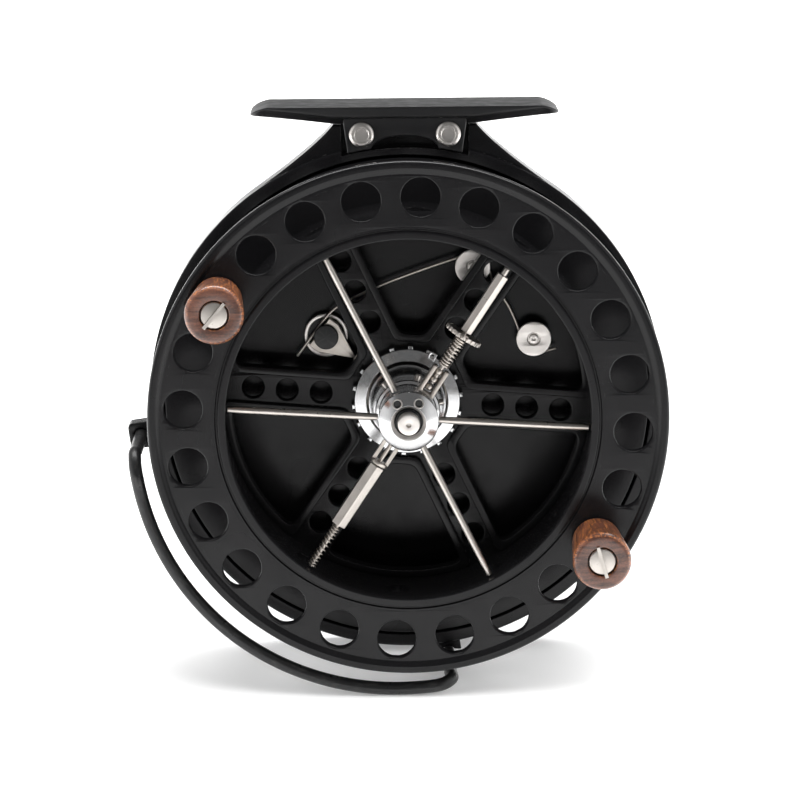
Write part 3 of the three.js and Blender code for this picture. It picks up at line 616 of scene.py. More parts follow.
# %% Make the backplate
def backplate():
    profile = [
        (0, FLOOR_Y), (RIM_IN, FLOOR_Y), (RIM_IN, RIM_Y), (PLATE_R, RIM_Y), (PLATE_R, PLATE_Y),
        (50.6, PLATE_Y), (50.2, PLATE_Y - 0.35), (49.4, PLATE_Y - 0.35), (49, PLATE_Y),
        (14.3, PLATE_Y), (14, PLATE_Y - 0.3), (0, PLATE_Y - 0.3),
    ]
    radii = [0, 1.6, 0.3, 0.6, 1.5, 0.2, 0.2, 0.2, 0.2, 0.2, 0.2, 0]
    dish = turned(profile, radii, steps=256)
    neck = plate(neck_outline(), [], RIM_Y + 1.2, PLATE_Y - 0.5, 0.6)
    half = 14.4
    lean = math.degrees(half / TAB_BOTTOM)
    seat = np.concatenate([arc(TAB_BOTTOM - 0.3, 90 - lean, 90 + lean), [(-half, 70), (half, 70)]])
    slot = np.concatenate([arc(1.75, 90, 270, 12), arc(1.75, -90, 90, 12) + (SLIDE, 0)])
    slot_cut = plate(slot, [], FLOOR_Y - 2, PLATE_Y + 2, 0.02)
    cuts = [
        plate(seat, [], RIM_Y - 2, NECK_Y, 0.02),
        bar(3.2, FLOOR_Y - 2, PLATE_Y + 2, 0),
        slot_cut.placed(turned_to(TO_HUB)).at(PAWL_X, 0, PAWL_Z),
    ]
    make("backplate_skin", dish, "frame", "anodised", ANODISED, "backplate", joins=[neck], cuts=cuts)


backplate()

# %% [markdown]
# ## The reel foot
# The foot is thick over the neck and drawn out thin at both ends so that the rod's rings can slide over
# them. Its flat seat rolls over at the ends, and its two lower edges are bevelled. It is a grid: one loop
# of the section at each place along the foot. A tab hangs from it in front of the neck, flush with its
# front edge, with a low arch between the two screws.

# %% The foot's saddle
foot_low, foot_high = span("reel_foot")
FOOT_HALF, SEAT_Z = foot_high[0], foot_high[2]
FOOT_UNDER = NECK_TOP + 0.3
FOOT_WIDE = (foot_high[1] - foot_low[1]) / 2
FOOT_MID = (foot_high[1] + foot_low[1]) / 2


def saddle():
    """Loops of a six-sided section: the seat, two short upright faces, two bevels and the underside.

    Along X the seat's ends and the underside follow quadratics, and the plan has round corners.
    """
    tip, roll, corner = SEAT_Z - 2, 4, 3
    pull = (FOOT_HALF - 1.6, SEAT_Z - 0.4)
    ends = quadratic((FOOT_HALF - roll, SEAT_Z), pull, (FOOT_HALF, tip + 0.35), 14)
    x = np.concatenate([np.linspace(0, FOOT_HALF - roll, 40)[:-1], ends[:, 0]])
    high = np.concatenate([np.full(39, SEAT_Z), ends[:, 1]])
    under = quadratic((NECK_HALF, FOOT_UNDER), (24, tip - 1), (FOOT_HALF, tip), 40)
    low = np.interp(x, under[:, 0], under[:, 1])
    past = np.clip(x - (FOOT_HALF - corner), 0, corner)
    wide = FOOT_WIDE - corner + np.sqrt(corner**2 - past**2)
    rise = 1.7 * np.minimum(1, (high - low) / 2.2)
    loops = []
    for w, top, bottom, bevel in zip(wide, high, low, rise):
        section = [(-w, top), (w, top), (w, bottom + bevel), (w - bevel, bottom), (bevel - w, bottom),
                   (-w, bottom + bevel)]
        loops.append(rounded(section, [0.5, 0.5, 0.35, 0.35, 0.35, 0.35], True, 3))
    half = np.array(loops)
    across = np.broadcast_to(x[:, None, None], (*half.shape[:2], 1))
    half = np.concatenate([across, half + (FOOT_MID, 0)], 2)
    both = np.concatenate([half[:0:-1] * (-1, 1, 1), half])
    caps = [np.broadcast_to(both[e].mean(0), both[e].shape) for e in (0, -1)]
    return grid_shell(np.concatenate([caps[:1], both, caps[1:]]))


def tab_outline():
    """The tab follows the rim below, narrows a little downwards, and has a low arch between the screws."""
    top, half, gap, crown = 13.9, 12.9, 7.6, 59.6
    lean, lean_gap = (math.degrees(w / TAB_BOTTOM) for w in (half, gap))
    right = arc(TAB_BOTTOM, 90 - lean, 90 - lean_gap, 8)
    arch = quadratic(right[-1], (gap - 1.1, crown), (0, crown), 14)
    outline = mirrored(np.concatenate([[(top, FOOT_UNDER + 1.4)], right, arch[1:-1]]))
    return rounded(outline, 1.2, True, 3)


tab = plate(tab_outline(), [], TAB_Y, NECK_Y - 0.3, 0.35)
make("reel_foot_skin", saddle(), "frame", "foot_black", ENAMEL, "reel_foot", joins=[tab])

# %% [markdown]
# ## Screws
# The foot is held by two low, round-headed screws. The slot cutter here carves a slot into the turned head
# of each handle post, and the hexagon gives the guard screws their sockets.

# %% Screws of the foot and the guard
def slot_cutter(wide, long, top, depth):
    """A bar across a screw's head, lying along X."""
    half = np.array([(-long, -wide), (long, -wide), (long, wide), (-long, wide)]) / 2
    return plate(half, [], top - 1, top + depth, 0.02)


def hexagon(across_flats, rounding=0.08):
    """A hexagon with slightly rounded corners."""
    return rounded(circle(across_flats / math.sqrt(3), 6), rounding, True)


for side in ("left", "right"):
    node = f"foot_screw_{side}"
    low, high = span(node)
    x, z = middle(node)[[0, 2]]
    r = (high[0] - low[0]) / 2
    head = [
        (0, low[1] + 0.12), (r * 0.55, low[1] + 0.12), (r * 0.6, low[1]), (r * 0.8, low[1]),
        (r, low[1] + 0.5), (r, low[1] + 1), (1.2, low[1] + 1), (1.2, high[1]), (0, high[1]),
    ]
    screw = turned(head, [0, 0.1, 0.1, 0.4, 0.3, 0.1, 0.1, 0.1, 0], steps=48).at(x, 0, z)
    make(node + "_skin", screw, "frame", "nickel", SPUN, node)

# %% [markdown]
# ## The line guard
# A black rod stands off the lower left of the drum and keeps slack line from falling behind it. It comes
# forward from a lug on the backplate's rim, bends into the drum's front plane, sweeps round the drum and
# returns to a second lug. The rod is one path with a round section; the reference direction points away
# from the spindle, so the section never twists.

# %% The guard's rod
ROD_R = 1.45
GUARD_Y = 3.0
lug_low, lug_high = span("guard_lug_left")
lugs = (middle("guard_lug_left"), middle("guard_lug_lower"))
legs = [math.degrees(math.atan2(z, x)) % 360 for x, _, z in lugs]
GUARD_R = np.hypot(*middle("guard_screw_lower")[[0, 2]])
GUARD_END = span("line_guard")[1][1]


def guard_path():
    """Down one leg, round the arc and back up the other; the arc bulges by 1.4 mm in its middle."""
    bend = 2.4
    share = np.linspace(0, 1, 15)
    angle = legs[0] + bend + share * (legs[1] - legs[0] - 2 * bend)
    x, z = polar(GUARD_R + 1.4 * np.sin(math.pi * share), angle)
    sweep = np.stack([x, np.full(15, GUARD_Y), z], -1)
    depths = [GUARD_END, 22, 12, 6.5]
    down, back = ([(*polar(GUARD_R, leg), y) for y in depths] for leg in legs)
    down, back = (np.array(side)[:, [0, 2, 1]] for side in (down, back))
    return smooth_path(np.concatenate([down, sweep, back[::-1]]), 260)


path = guard_path()
away = unit(path * (1, 0, 1))
make("line_guard_skin", rod(path, ROD_R, away, 24), "frame", "black_steel", BLACKED, "line_guard")

# %% Lugs and screws of the guard
def lug_outline():
    inner, outer, half = PLATE_R + 0.3, GUARD_R + 2.7, 3.0
    lean = math.degrees(half / inner)
    corner = quadratic((outer - 1.2, half), (outer, half), (outer, half - 1.4), 8)
    return np.concatenate([arc(inner, -lean, lean, 8), corner, (corner * (1, -1))[::-1]])


for side, leg in zip(("left", "lower"), legs):
    bore = circle(ROD_R + 0.15, 32, GUARD_R)
    lug = plate(lug_outline(), [bore], lug_low[1], lug_high[1] - 1, 0.3)
    cap = plate(lug_outline(), [circle(1.1, 24, GUARD_R)], lug_high[1] - 1.01, lug_high[1], 0.3)
    body = (lug + cap).placed(turned_to(leg))
    make(f"guard_lug_{side}_skin", body, "frame", "anodised", ANODISED_PLATE, f"guard_lug_{side}")
    low, high = span(f"guard_screw_{side}")
    head = plate(circle(1.9, 48), [hexagon(1.6)], high[1] - 1.3, high[1], 0.25)
    head = head + bar(0.9, low[1], high[1] - 0.6)
    screw = head.at(GUARD_R, 0, 0).placed(turned_to(leg))
    make(f"guard_screw_{side}_skin", screw, "frame", "black_steel", BLACKED, f"guard_screw_{side}")

# %% [markdown]
# ## Spindle and bearings
# The spindle is turned from one bar, with a flange that bolts it to the backplate and a groove near its
# front end where the release latch drops in. Two ball races sit on it. All are turned profiles again.

# %% The spindle, its nut and washer
low, high = span("spindle")
SPINDLE = {"thin": 2.5, "thick": 3.2, "groove": 1.5, "flange": high[0], "thread": 3.0}
flange_back = FLOOR_Y - 0.3
profile = [
    (0, low[1]), (SPINDLE["thin"], low[1]), (SPINDLE["thin"], 2.2), (SPINDLE["groove"], 2.2),
    (SPINDLE["groove"], 3.8), (SPINDLE["thin"], 3.8), (SPINDLE["thin"], 19), (SPINDLE["thick"], 19),
    (SPINDLE["thick"], flange_back - 2), (SPINDLE["flange"], flange_back - 2),
    (SPINDLE["flange"], flange_back), (SPINDLE["thread"], flange_back), (SPINDLE["thread"], high[1]),
    (0, high[1]),
]
make("spindle_skin", turned(profile, 0.3), "frame", "steel", STEEL, "spindle")
low, high = span("spindle_washer")
washer = tube(3.3, high[0], low[1], high[1], 0.15)
make("spindle_washer_skin", washer, "frame", "nickel", NICKEL, "spindle_washer")
low, high = span("spindle_nut")
nut = plate(hexagon(9, 0.5), [circle(3.2, 48)], low[1], high[1], 0.35)
make("spindle_nut_skin", nut, "frame", "nickel", NICKEL, "spindle_nut")

# %% Ball races
def balls(node, ball):
    """A cage ring with balls let into it: each ball is x = r sin(p) cos(a), and so on round the sphere."""
    low, high = span(node)
    ring_r = high[0] - ball
    y = middle(node)[1]
    a, p = np.meshgrid(np.linspace(0, 2 * math.pi, 24, endpoint=False), np.linspace(0, math.pi, 13))
    sphere = np.stack([np.sin(p) * np.cos(a), np.cos(p), np.sin(p) * np.sin(a)], -1) * ball
    shell = tube(ring_r - 0.2, ring_r + 0.2, y - 0.5, y + 0.5, 0.1, 72)
    for turn in np.arange(6) * 60:
        x, z = polar(ring_r, turn)
        shell = shell + grid_shell(sphere).at(x, y, z)
    return shell


for end, ball, inner_wall in (("front", 0.5, 0.6), ("rear", 0.62, 0.8)):
    for race, body in (("inner", "frame"), ("outer", "drum")):
        node = f"bearing_{end}_{race}"
        low, high = span(node)
        wall = inner_wall if race == "inner" else (0.4 if end == "front" else 0.8)
        shell = tube(high[0] - wall, high[0], low[1], high[1], 0.15)
        make(node + "_skin", shell, body, "chrome", CHROME, node)
    node = f"bearing_{end}_balls"
    make(node + "_skin", balls(node, ball), "drum", "steel", STEEL, node)

# %% [markdown]
# ## The check
# Behind the drum a steel pawl can be slid up to a ratchet wheel so that the reel clicks. A long springy
# wire, anchored on one post and bent round another, lies along the pawl's flat back and centres it. The
# pawl, its pivot and a disc slide together when the button at the back is pushed.

# %% Posts and the spring wire
for node in ("spring_anchor_post", "spring_guide_post"):
    low, high = span(node)
    x, z = middle(node)[[0, 2]]
    r = high[0] - x
    head = plate(circle(r, 72), [circle(1.4, 36)], low[1], low[1] + 0.9, 0.2)
    floor = plate(circle(1.05, 36), [circle(0.38, 24)], low[1] + 0.15, low[1] + 0.85, 0.12)
    shank = turned([(0, low[1] + 0.7), (2.2, low[1] + 0.7), (2.2, FLOOR_Y - 0.3), (1.2, FLOOR_Y - 0.3),
                    (1.2, high[1]), (0, high[1])], 0.1, steps=48)
    make(node + "_skin", (head + floor + shank).at(x, 0, z), "frame", "steel", SPUN, node)

WIRE_R = 0.35
WIRE_Y = middle("check_spring")[1]


def spring_route():
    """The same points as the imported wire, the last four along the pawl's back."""
    cx, cz = polar(1, TO_HUB)
    back = 2.6
    ends = [(PAWL_X - back * cx - d * cz, PAWL_Z - back * cz + d * cx) for d in (3, 0, -3.4, -7.6)]
    route = [(34, 10.3), (30, 9.6), (26.3, 10.9), (25.6, 14.2), (23.5, 19.5), (19.6, 26), (18.2, 30.4),
             (15.7, 32.4), (11.5, 31.2), (3, 28.4), (-7, 24.6), (-15.6, 20.3)] + ends
    return smooth_path([(x, WIRE_Y, z) for x, z in route], 200)


wire = rod(spring_route(), WIRE_R, (0, 1, 0), 12)
make("check_spring_skin", wire, "frame", "steel", STEEL, "check_spring")

# %% Pawl, pivot, sliding disc and button
low, high = span("check_pawl")
reach, tip = 8.16, 0.35
pawl = np.array([(-1.9, -3.9), (0.6, -3.9), (reach - tip, -tip), (reach, 0), (reach - tip, tip), (0.6, 3.9),
                 (-1.9, 3.9)])
pawl = plate(rounded(pawl, 0.25, True), [circle(1.3, 36)], low[1], high[1], 0.15)
pawl = pawl.placed(turned_to(TO_HUB)).at(PAWL_X, 0, PAWL_Z)
make("check_pawl_skin", pawl, "pawl", "steel", STEEL, "check_pawl")
low, high = span("pawl_pivot")
pin = bar(2.8, low[1], low[1] + 0.6, 0.25, 72) + bar(1, low[1] + 0.5, high[1], 0.1)
make("pawl_pivot_skin", pin.at(PAWL_X, 0, PAWL_Z), "check_selector", "black_steel", BLACKED, "pawl_pivot")
low, high = span("check_slider")
disc = plate(circle(5, 96), [circle(4.1, 96)], low[1], FLOOR_Y - 0.6, 0.2)
make("check_slider_skin", disc.at(PAWL_X, 0, PAWL_Z), "check_selector", "steel", SPUN, "check_slider")
web = plate(circle(4.3, 96), [circle(1.3, 36)], low[1] + 0.7, FLOOR_Y - 0.9, 0.1)
web = web + bar(4.3, FLOOR_Y - 0.91, FLOOR_Y - 0.6, 0.1) + bar(1.5, FLOOR_Y - 0.7, high[1], 0.1)
make("check_slider_web", web.at(PAWL_X, 0, PAWL_Z), "check_selector", "black_steel", BLACKED)


def toothed(teeth, tooth, start=0.0):
    """An outline that repeats a few (radius, share of the pitch) points once for each tooth."""
    r, share = np.array(tooth).T
    angle = start + (np.arange(teeth)[:, None] + share[None]) * 360 / teeth
    return np.stack(polar(np.broadcast_to(r, angle.shape).ravel(), angle.ravel()), -1)


low, high = span("check_button")
grips = toothed(16, [(5, 0.1), (5, 0.5), (4.6, 0.6), (4.6, 1)])
button = plate(grips, [circle(1.8, 36)], low[1], high[1], 0.25).at(PAWL_X, 0, PAWL_Z)
make("check_button_skin", button, "check_selector", "anodised", ANODISED_PLATE, "check_button")
low, high = span("ratchet_wheel")
teeth = toothed(24, [(14.1, 0.44), (14.1, 0.56), (12.7, 0.94), (12.7, 1.06)], TO_HUB + 180)
wheel = plate(rounded(teeth, 0.12, True, 3), [circle(5, 72)], low[1], high[1], 0.15)
make("ratchet_wheel_skin", wheel, "drum", "steel", STEEL, "ratchet_wheel")

# %% [markdown]
# ## The drum's front flange
# The front flange is a flat ring with a row of large holes, a raised lip round its open middle where the
# spokes are anchored, and a beaded outer edge. Each hole has a small polished chamfer. The flat web is a
# plate, and the two raised edges are turned rings that overlap it.

# %% Make the front flange
DRUM_R = span("front_flange")[1][0]
LIP_R = 40.05
FLANGE_T = span("front_flange")[1][1]
SPOKE_ANGLE, HOLE_PITCH, HOLE_R = -3.5, 15, 4.3
posts = {name: middle(f"handle_post_{name}") for name in ("upper", "lower")}
HANDLE_R = np.hypot(posts["upper"][0], posts["upper"][2])


def front_flange():
    holes = []
    for angle in SPOKE_ANGLE + np.arange(0, 360, HOLE_PITCH):
        x, z = polar(HANDLE_R, angle)
        handle = any(math.hypot(x - p[0], z - p[2]) < 1 for p in posts.values())
        holes.append(circle(1.9 if handle else HOLE_R, 48, x, z))
    web = plate(circle(54.5, 256), [circle(42.6, 256)] + holes, 0, FLANGE_T, 0.28)
    lip = turned(
        [(LIP_R, -LIP), (41.7, -LIP), (41.85, 0.35), (42.25, 0.35), (42.4, 0), (43.2, 0.02),
         (43.2, FLANGE_T - 0.02), (42, FLANGE_T), (LIP_R, FLANGE_T)],
        [0.3, 0.25, 0.1, 0.1, 0.1, 0.02, 0.02, 0.1, 0.2], True, 256)
    bead = turned(
        [(53.6, 0.02), (54.6, 0.02), (55.3, -LIP), (56.7, -LIP), (DRUM_R, 0.2), (DRUM_R, 1.8),
         (56.4, FLANGE_T), (53.6, FLANGE_T - 0.02)],
        [0.02, 0.8, 0.35, 0.4, 0.5, 0.5, 0.4, 0.02], True, 256)
    make("front_flange_skin", web + lip + bead, "drum", "anodised", ANODISED_PLATE, "front_flange")


front_flange()

# %% [markdown]
# ## Arbor and rear flange
# The line is wound on the arbor, a drum wall with vents that let it dry. The rear flange is opened out into
# six arms, each with a raised border round the windows and three holes down its middle.

# %% The arbor
def arbor():
    low, high = span("arbor")
    outer, inner = high[0], 41.3
    flare = [(inner, low[1] - 0.25), (outer, low[1] - 0.25), (outer - 0.15, low[1] + 1.2),
             (outer - 0.15, high[1] - 1.2),
             (outer, high[1] + 0.25), (inner, high[1] + 0.25)]
    wall = turned(flare, [0.1, 0.1, 1, 1, 0.1, 0.1], True, 256)
    y = middle("arbor")[1]
    vents = []
    for angle in SPOKE_ANGLE + np.arange(0, 360, 2 * HOLE_PITCH):
        vent = bar(3, 38, 48, 0.2, 32).placed(Matrix.Rotation(math.radians(-90), 4, "Z")).at(0, y, 0)
        vents.append(vent.placed(turned_to(angle)))
    joined = vents[0]
    for vent in vents[1:]:
        joined = joined + vent
    make("arbor_skin", wall, "drum", "anodised", ANODISED, "arbor", cuts=[joined])


arbor()

# %% The rear flange and its arms
ARM_ANGLE, ARM_HALF, RIB_W = -4.89, 5.0, 1.7
POCKET_IN, POCKET_OUT = 15.0, 39.7
REAR_R = span("rear_flange")[1][0]
REAR_Y = span("rear_flange")[1][1]
RIB_Y = span("rear_flange")[0][1]
WEB_Y = RIB_Y + 1.35


def window_outline(grow=0.0):
    """The opening between two arms: two arm sides and two arcs, its corners left sharp for `soften` to
    round.
    """
    half, inner, outer = ARM_HALF - grow, POCKET_IN - grow, POCKET_OUT + grow
    side = [math.degrees(math.asin(half / r)) for r in (inner, outer)]
    low_arc = arc(inner, 60 - side[0], side[0], 12)
    high_arc = arc(outer, side[1], 60 - side[1], 40)
    outline = np.concatenate([high_arc, low_arc])
    radii = np.full(len(outline), 0.01)
    return outline, radii


def soften(outline, corner):
    """Rounds an outline's four sharp corners by running a short average along it at even spacing."""
    closed = np.concatenate([outline, outline[:1]])
    length = np.concatenate([[0], np.cumsum(np.linalg.norm(np.diff(closed, axis=0), axis=1))])
    count = 360
    even = np.linspace(0, length[-1], count, endpoint=False)
    points = np.stack([np.interp(even, length, closed[:, k]) for k in (0, 1)], -1)
    reach = int(round(corner / (length[-1] / count)))
    weights = np.hanning(2 * reach + 3)[1:-1]
    weights /= weights.sum()
    wrapped = np.concatenate([points[-reach:], points, points[:reach]])
    return np.stack([np.convolve(wrapped[:, k], weights, "valid") for k in (0, 1)], -1)


def turned_outline(outline, degrees):
    c, s = math.cos(math.radians(degrees)), math.sin(math.radians(degrees))
    return outline @ np.array([[c, s], [-s, c]])


def rear_flange():
    arms = ARM_ANGLE + np.arange(6) * 60
    window = soften(window_outline()[0], 3.2)
    middle_line = soften(window_outline(0.8)[0], 3.2)
    border = soften(window_outline(RIB_W)[0], 3.2)
    holes = [circle(9.1, 96)] + [turned_outline(middle_line, a) for a in arms]
    for a in arms:
        for r in (19.47, 27.16, 34.85):
            x, z = polar(r, a)
            holes.append(circle(2.48, 32, x, z))
    shell = plate(circle(REAR_R, 256), holes, WEB_Y, REAR_Y, 0.25)
    frame_of_window = plate(border, [window], RIB_Y, REAR_Y - 0.1, 0.25)
    for a in arms:
        shell = shell + frame_of_window.placed(turned_to(a))
    make("rear_flange_skin", shell, "drum", "anodised", ANODISED_PLATE, "rear_flange")


rear_flange()

# %% [markdown]
# ## The hub
# The hub is the reel's bright centre: a stepped barrel polished like a mirror, a knurled lock ring that
# clamps the rear flange, and a domed cap held by one screw. Mirrors show every facet, so the profiles have
# generous rounds and many steps.

# %% Barrel, lock ring and cap
low, high = span("hub_barrel")
front_bearing, rear_bearing = span("bearing_front_outer"), span("bearing_rear_outer")
front_seat, rear_seat = front_bearing[1][0] + 0.15, rear_bearing[1][0] + 0.15
barrel = turned(
    [(2.9, low[1]), (6.3, low[1]), (6.3, 9.5), (7.2, 9.9), (7.2, 15), (7.6, 16.6),
     (high[0], 19.5), (high[0], high[1]),
     (rear_seat, high[1]), (rear_seat, rear_bearing[0][1] - 0.2), (4, rear_bearing[0][1] - 0.2),
     (4, front_bearing[1][1] + 0.2), (front_seat, front_bearing[1][1] + 0.2),
     (front_seat, front_bearing[0][1] - 0.2), (2.9, front_bearing[0][1] - 0.2)],
    [0.2, 0.4, 0.3, 0.4, 1.0, 1.0, 1.4, 0.3, 0.2, 0.1, 0.1, 0.1, 0.1, 0.1, 0.1], True, 192)
make("hub_barrel_skin", barrel, "drum", "chrome", CHROME, "hub_barrel")

pin = bar(0.72, 6.8, 8.2, 0.15, 24).placed(Matrix.Rotation(math.radians(-90), 4, "Z")).at(0, 13, 0)
PIN_ANGLES = 12 + np.arange(6) * 60
pins = [pin.placed(turned_to(angle)) for angle in PIN_ANGLES]
for other in pins[1:]:
    pins[0] = pins[0] + other
make("hub_pins", pins[0], "drum", "nickel", NICKEL)

# %% [markdown]
# ### The lock ring
# The ring's face is dished by a few degrees, so it mirrors the pale paper in front of the reel. Narrow
# teeth round its edge give a spanner its grip, and one small square screw keeps it from working loose.

# %% The lock ring
low, high = span("hub_lock_ring")
LOCK_R, SET_SCREW_ANGLE = 11.88, 61
band = [(9.15, low[1] + 0.3), (LOCK_R, low[1] + 0.65), (LOCK_R, high[1]), (9.15, high[1])]
band = turned(band, 0.25, True, 192)
teeth = toothed(18, [(high[0], 0.37), (high[0], 0.63), (LOCK_R - 0.3, 0.64), (LOCK_R - 0.3, 1.36)], -4)
teeth = plate(rounded(teeth, 0.12, True, 3), [circle(9.6, 96)], low[1] + 1.2, high[1] - 0.02, 0.2)
set_screw = plate(rounded(np.array([(-1, -1), (1, -1), (1, 1), (-1, 1)]) * 0.95, 0.2, True),
                  [circle(0.45, 24)], low[1] + 0.5, high[1] - 0.3, 0.15)
set_screw = set_screw.at(LOCK_R - 0.2, 0, 0).placed(turned_to(SET_SCREW_ANGLE))
make("hub_lock_ring_skin", band + teeth + set_screw, "drum", "chrome", CHROME, "hub_lock_ring")

# %% [markdown]
# ### The cap
# The cap falls away from a crest in a shallow dome. Inside the crest a cone leads down to the screw's
# boss, and a black ring on the floor of that groove is painted shade. Two holes for a pin spanner have
# raised bright rims, and a black disc in each is painted shade for the depth behind.

# %% The cap and its screw
low, high = span("hub_cap")
CAP_CREST = (3.85, low[1])
CAP_HOLE_R, CAP_HOLE_MIDDLE, CAP_HOLE_ANGLES = 0.85, 4.85, (62, 120)
cap_r, cap_side = high[0], low[1] + 1.9
dome = quadratic(CAP_CREST, (5.3, low[1] + 0.65), (cap_r, cap_side), 20)
cap = turned([(1.6, low[1] + 1.4), (2.8, low[1] + 1.4), *dome, (cap_r, high[1]), (1.6, high[1])],
             [0.1, 0.1] + [0.15] + [0.05] * 18 + [0.2, 0.2, 0.1], True, 192)
# dark: painted shade, a black ring on the groove's floor and a black disc in each spanner hole
drilled, dark = [], tube(2.42, 2.86, low[1] + 1.1, low[1] + 1.5, 0.02, 96)
rims = []
for angle in CAP_HOLE_ANGLES:
    x, z = polar(CAP_HOLE_MIDDLE, angle)
    drilled.append(bar(CAP_HOLE_R, low[1] - 1, low[1] + 2.6, 0, 48).at(x, 0, z))
    dark = dark + bar(0.95, low[1] + 0.75, low[1] + 2.8, 0.02, 48).at(x, 0, z)
    tilt = Matrix.Rotation(math.radians(-25), 4, (z, 0, -x))
    bead = tube(CAP_HOLE_R + 0.01, CAP_HOLE_R + 0.31, -0.12, 0.25, 0.1, 48).placed(tilt)
    rims.append(bead.at(x, low[1] + 0.44, z))
make("hub_cap_skin", cap, "drum", "chrome", CHROME, "hub_cap", cuts=drilled)
make("cap_hole_rims", rims[0] + rims[1], "drum", "chrome", SPUN)
make("cap_shadows", dark, "drum", "black_steel", BLACKED)

low, high = span("cap_screw")
boss = turned([(0.55, low[1]), (2.4, low[1]), (2.4, high[1] - 2.1), (1.3, high[1] - 2.1), (1.3, high[1]),
               (0, high[1]), (0, low[1] + 0.9), (0.55, low[1] + 0.9)],
              [0.1, 0.35, 0.1, 0.1, 0.1, 0, 0, 0.05], True, 96)
make("cap_screw_skin", boss, "drum", "nickel", SPUN, "cap_screw")

# %% [markdown]
# ## Spokes, regulator and release
# Six rods join the hub to the lip, level with the drum's face. Four are plain. The one at the upper right
# carries a knurled wheel that squeezes a spring against a small brake fork. The one at the lower left is a
# sleeve that slides outwards against its own spring to free the drum.

# %% Spokes
SPOKE_Y = 3.0


def along_spoke(degrees):
    """A turn that lays the Y axis out along one spoke."""
    c, s = polar(1, degrees)
    return Matrix(((0, c, s, 0), (1, 0, 0, SPOKE_Y), (0, s, -c, 0), (0, 0, 0, 1)))


SPOKE_IN, SPOKE_OUT = 6.6, LIP_R - 0.1
for number, step in enumerate((0, 2, 3, 5), 1):
    line = np.outer(np.linspace(SPOKE_IN, SPOKE_OUT - 0.2, 12), (0, 1, 0))
    spoke = rod(line, 0.8, (1, 0, 0), 24).placed(along_spoke(SPOKE_ANGLE + 60 * step))
    make(f"spoke_{number}_skin", spoke, "drum", "nickel", NICKEL, f"spoke_{number}")


def coil(r, y0, y1, turns, wire):
    """A helix about Y whose first and last turns close up flat."""
    t = np.linspace(0, 1, int(turns * 20))
    squeeze = t + 0.045 * np.sin(2 * math.pi * t) * -1
    angle = 2 * math.pi * turns * t
    path = np.stack([r * np.cos(angle), y0 + (y1 - y0) * squeeze, r * np.sin(angle)], -1)
    return rod(path, wire, (0, 1, 0), 10)


# %% The tension regulator
REGULATOR, RELEASE = 56.5, 236.5
lay = along_spoke(REGULATOR)
WHEEL_Y = (21.6, 22.6)
inner_rod = bar(0.6, 9.4, 23.2, 0.1, 24)
sleeve = plate(hexagon(2.6, 0.2), [], 22.9, 37.9, 0.2, 4)
tip = bar(0.75, 37.7, SPOKE_OUT - 0.3, 0.15, 24)
regulator_rod = (inner_rod + sleeve + tip).placed(lay)
make("regulator_rod_skin", regulator_rod, "drum", "nickel", NICKEL, "regulator_rod")
wheel = toothed(20, [(4.35, 0.05), (4.35, 0.5), (3.95, 0.62), (3.95, 0.98)])
wheel = plate(rounded(wheel, 0.12, True, 3), [circle(0.9, 32)], *WHEEL_Y, 0.15)
make("regulator_wheel_skin", wheel.placed(lay), "regulator", "nickel", NICKEL, "regulator_wheel")
spring = coil(1.2, 13.95, 21.05, 10, 0.25).placed(lay)
make("regulator_spring_skin", spring, "drum", "steel", STEEL, "regulator_spring")


def brake_fork():
    """Two cheeks joined at the hub end. The rod's three round collars are added between them afterwards."""
    y0, y1, wide, slot = 6.5, 13.4, 1.95, 1.0
    half = np.array([(wide, y0), (wide, y1), (slot, y1), (slot, y0 + 0.8)])
    return plate(rounded(mirrored(half), 0.25, True, 4), [], -1.4, 1.4, 0.3)


upright = Matrix(((0, 1, 0, 0), (0, 0, 1, 0), (1, 0, 0, 0), (0, 0, 0, 1)))
fork = brake_fork().placed(upright) + bar(0.7, 2.8, 6.9, 0.1, 24)
for y in (8.4, 10.4, 12.4):
    fork = fork + turned([(0, y - 0.85), (0.9, y - 0.6), (0.9, y + 0.6), (0, y + 0.85)], 0.4, steps=32)
make("brake_fork_skin", fork.placed(lay), "brake", "nickel", STEEL, "brake_fork")

# %% The release latch
lay = along_spoke(RELEASE)
prong = plate(np.array([(-0.7, -0.4), (0.7, -0.4), (0.7, 0.4), (-0.7, 0.4)]), [], SPOKE_IN, 11.6, 0.12)
collar = bar(2.1, 11.4, 12.2, 0.2, 64)
bolt = bar(0.5, 1.8, 11.6, 0.12, 24)
latch = prong.at(0, 0, 1.6) + prong.at(0, 0, -1.6) + collar + bolt
make("release_fork_skin", latch.placed(lay), "release_latch", "nickel", STEEL, "release_fork")
SLEEVE_BORE = 1.25  # clears the spring, which the sleeve slides over
sleeve = plate(hexagon(3.4, 0.25), [circle(SLEEVE_BORE, 32)], 12.5, 28.4, 0.2, 4)
make("release_sleeve_skin", sleeve.placed(lay), "release_latch", "nickel", NICKEL, "release_sleeve")
release_rod = bar(0.5, 18, SPOKE_OUT - 0.25, 0.1, 24)
make("release_rod_skin", release_rod.placed(lay), "drum", "steel", STEEL, "release_rod")
spring = coil(0.9, 29, 39.45, 12, 0.2).placed(lay)
make("release_spring_skin", spring, "drum", "steel", STEEL, "release_spring")

# %% [markdown]
# ## Handles
# Each handle is a grip turned from rosewood that spins on a bushed post. The post's slotted head sits in a
# counterbore in the front of the grip.

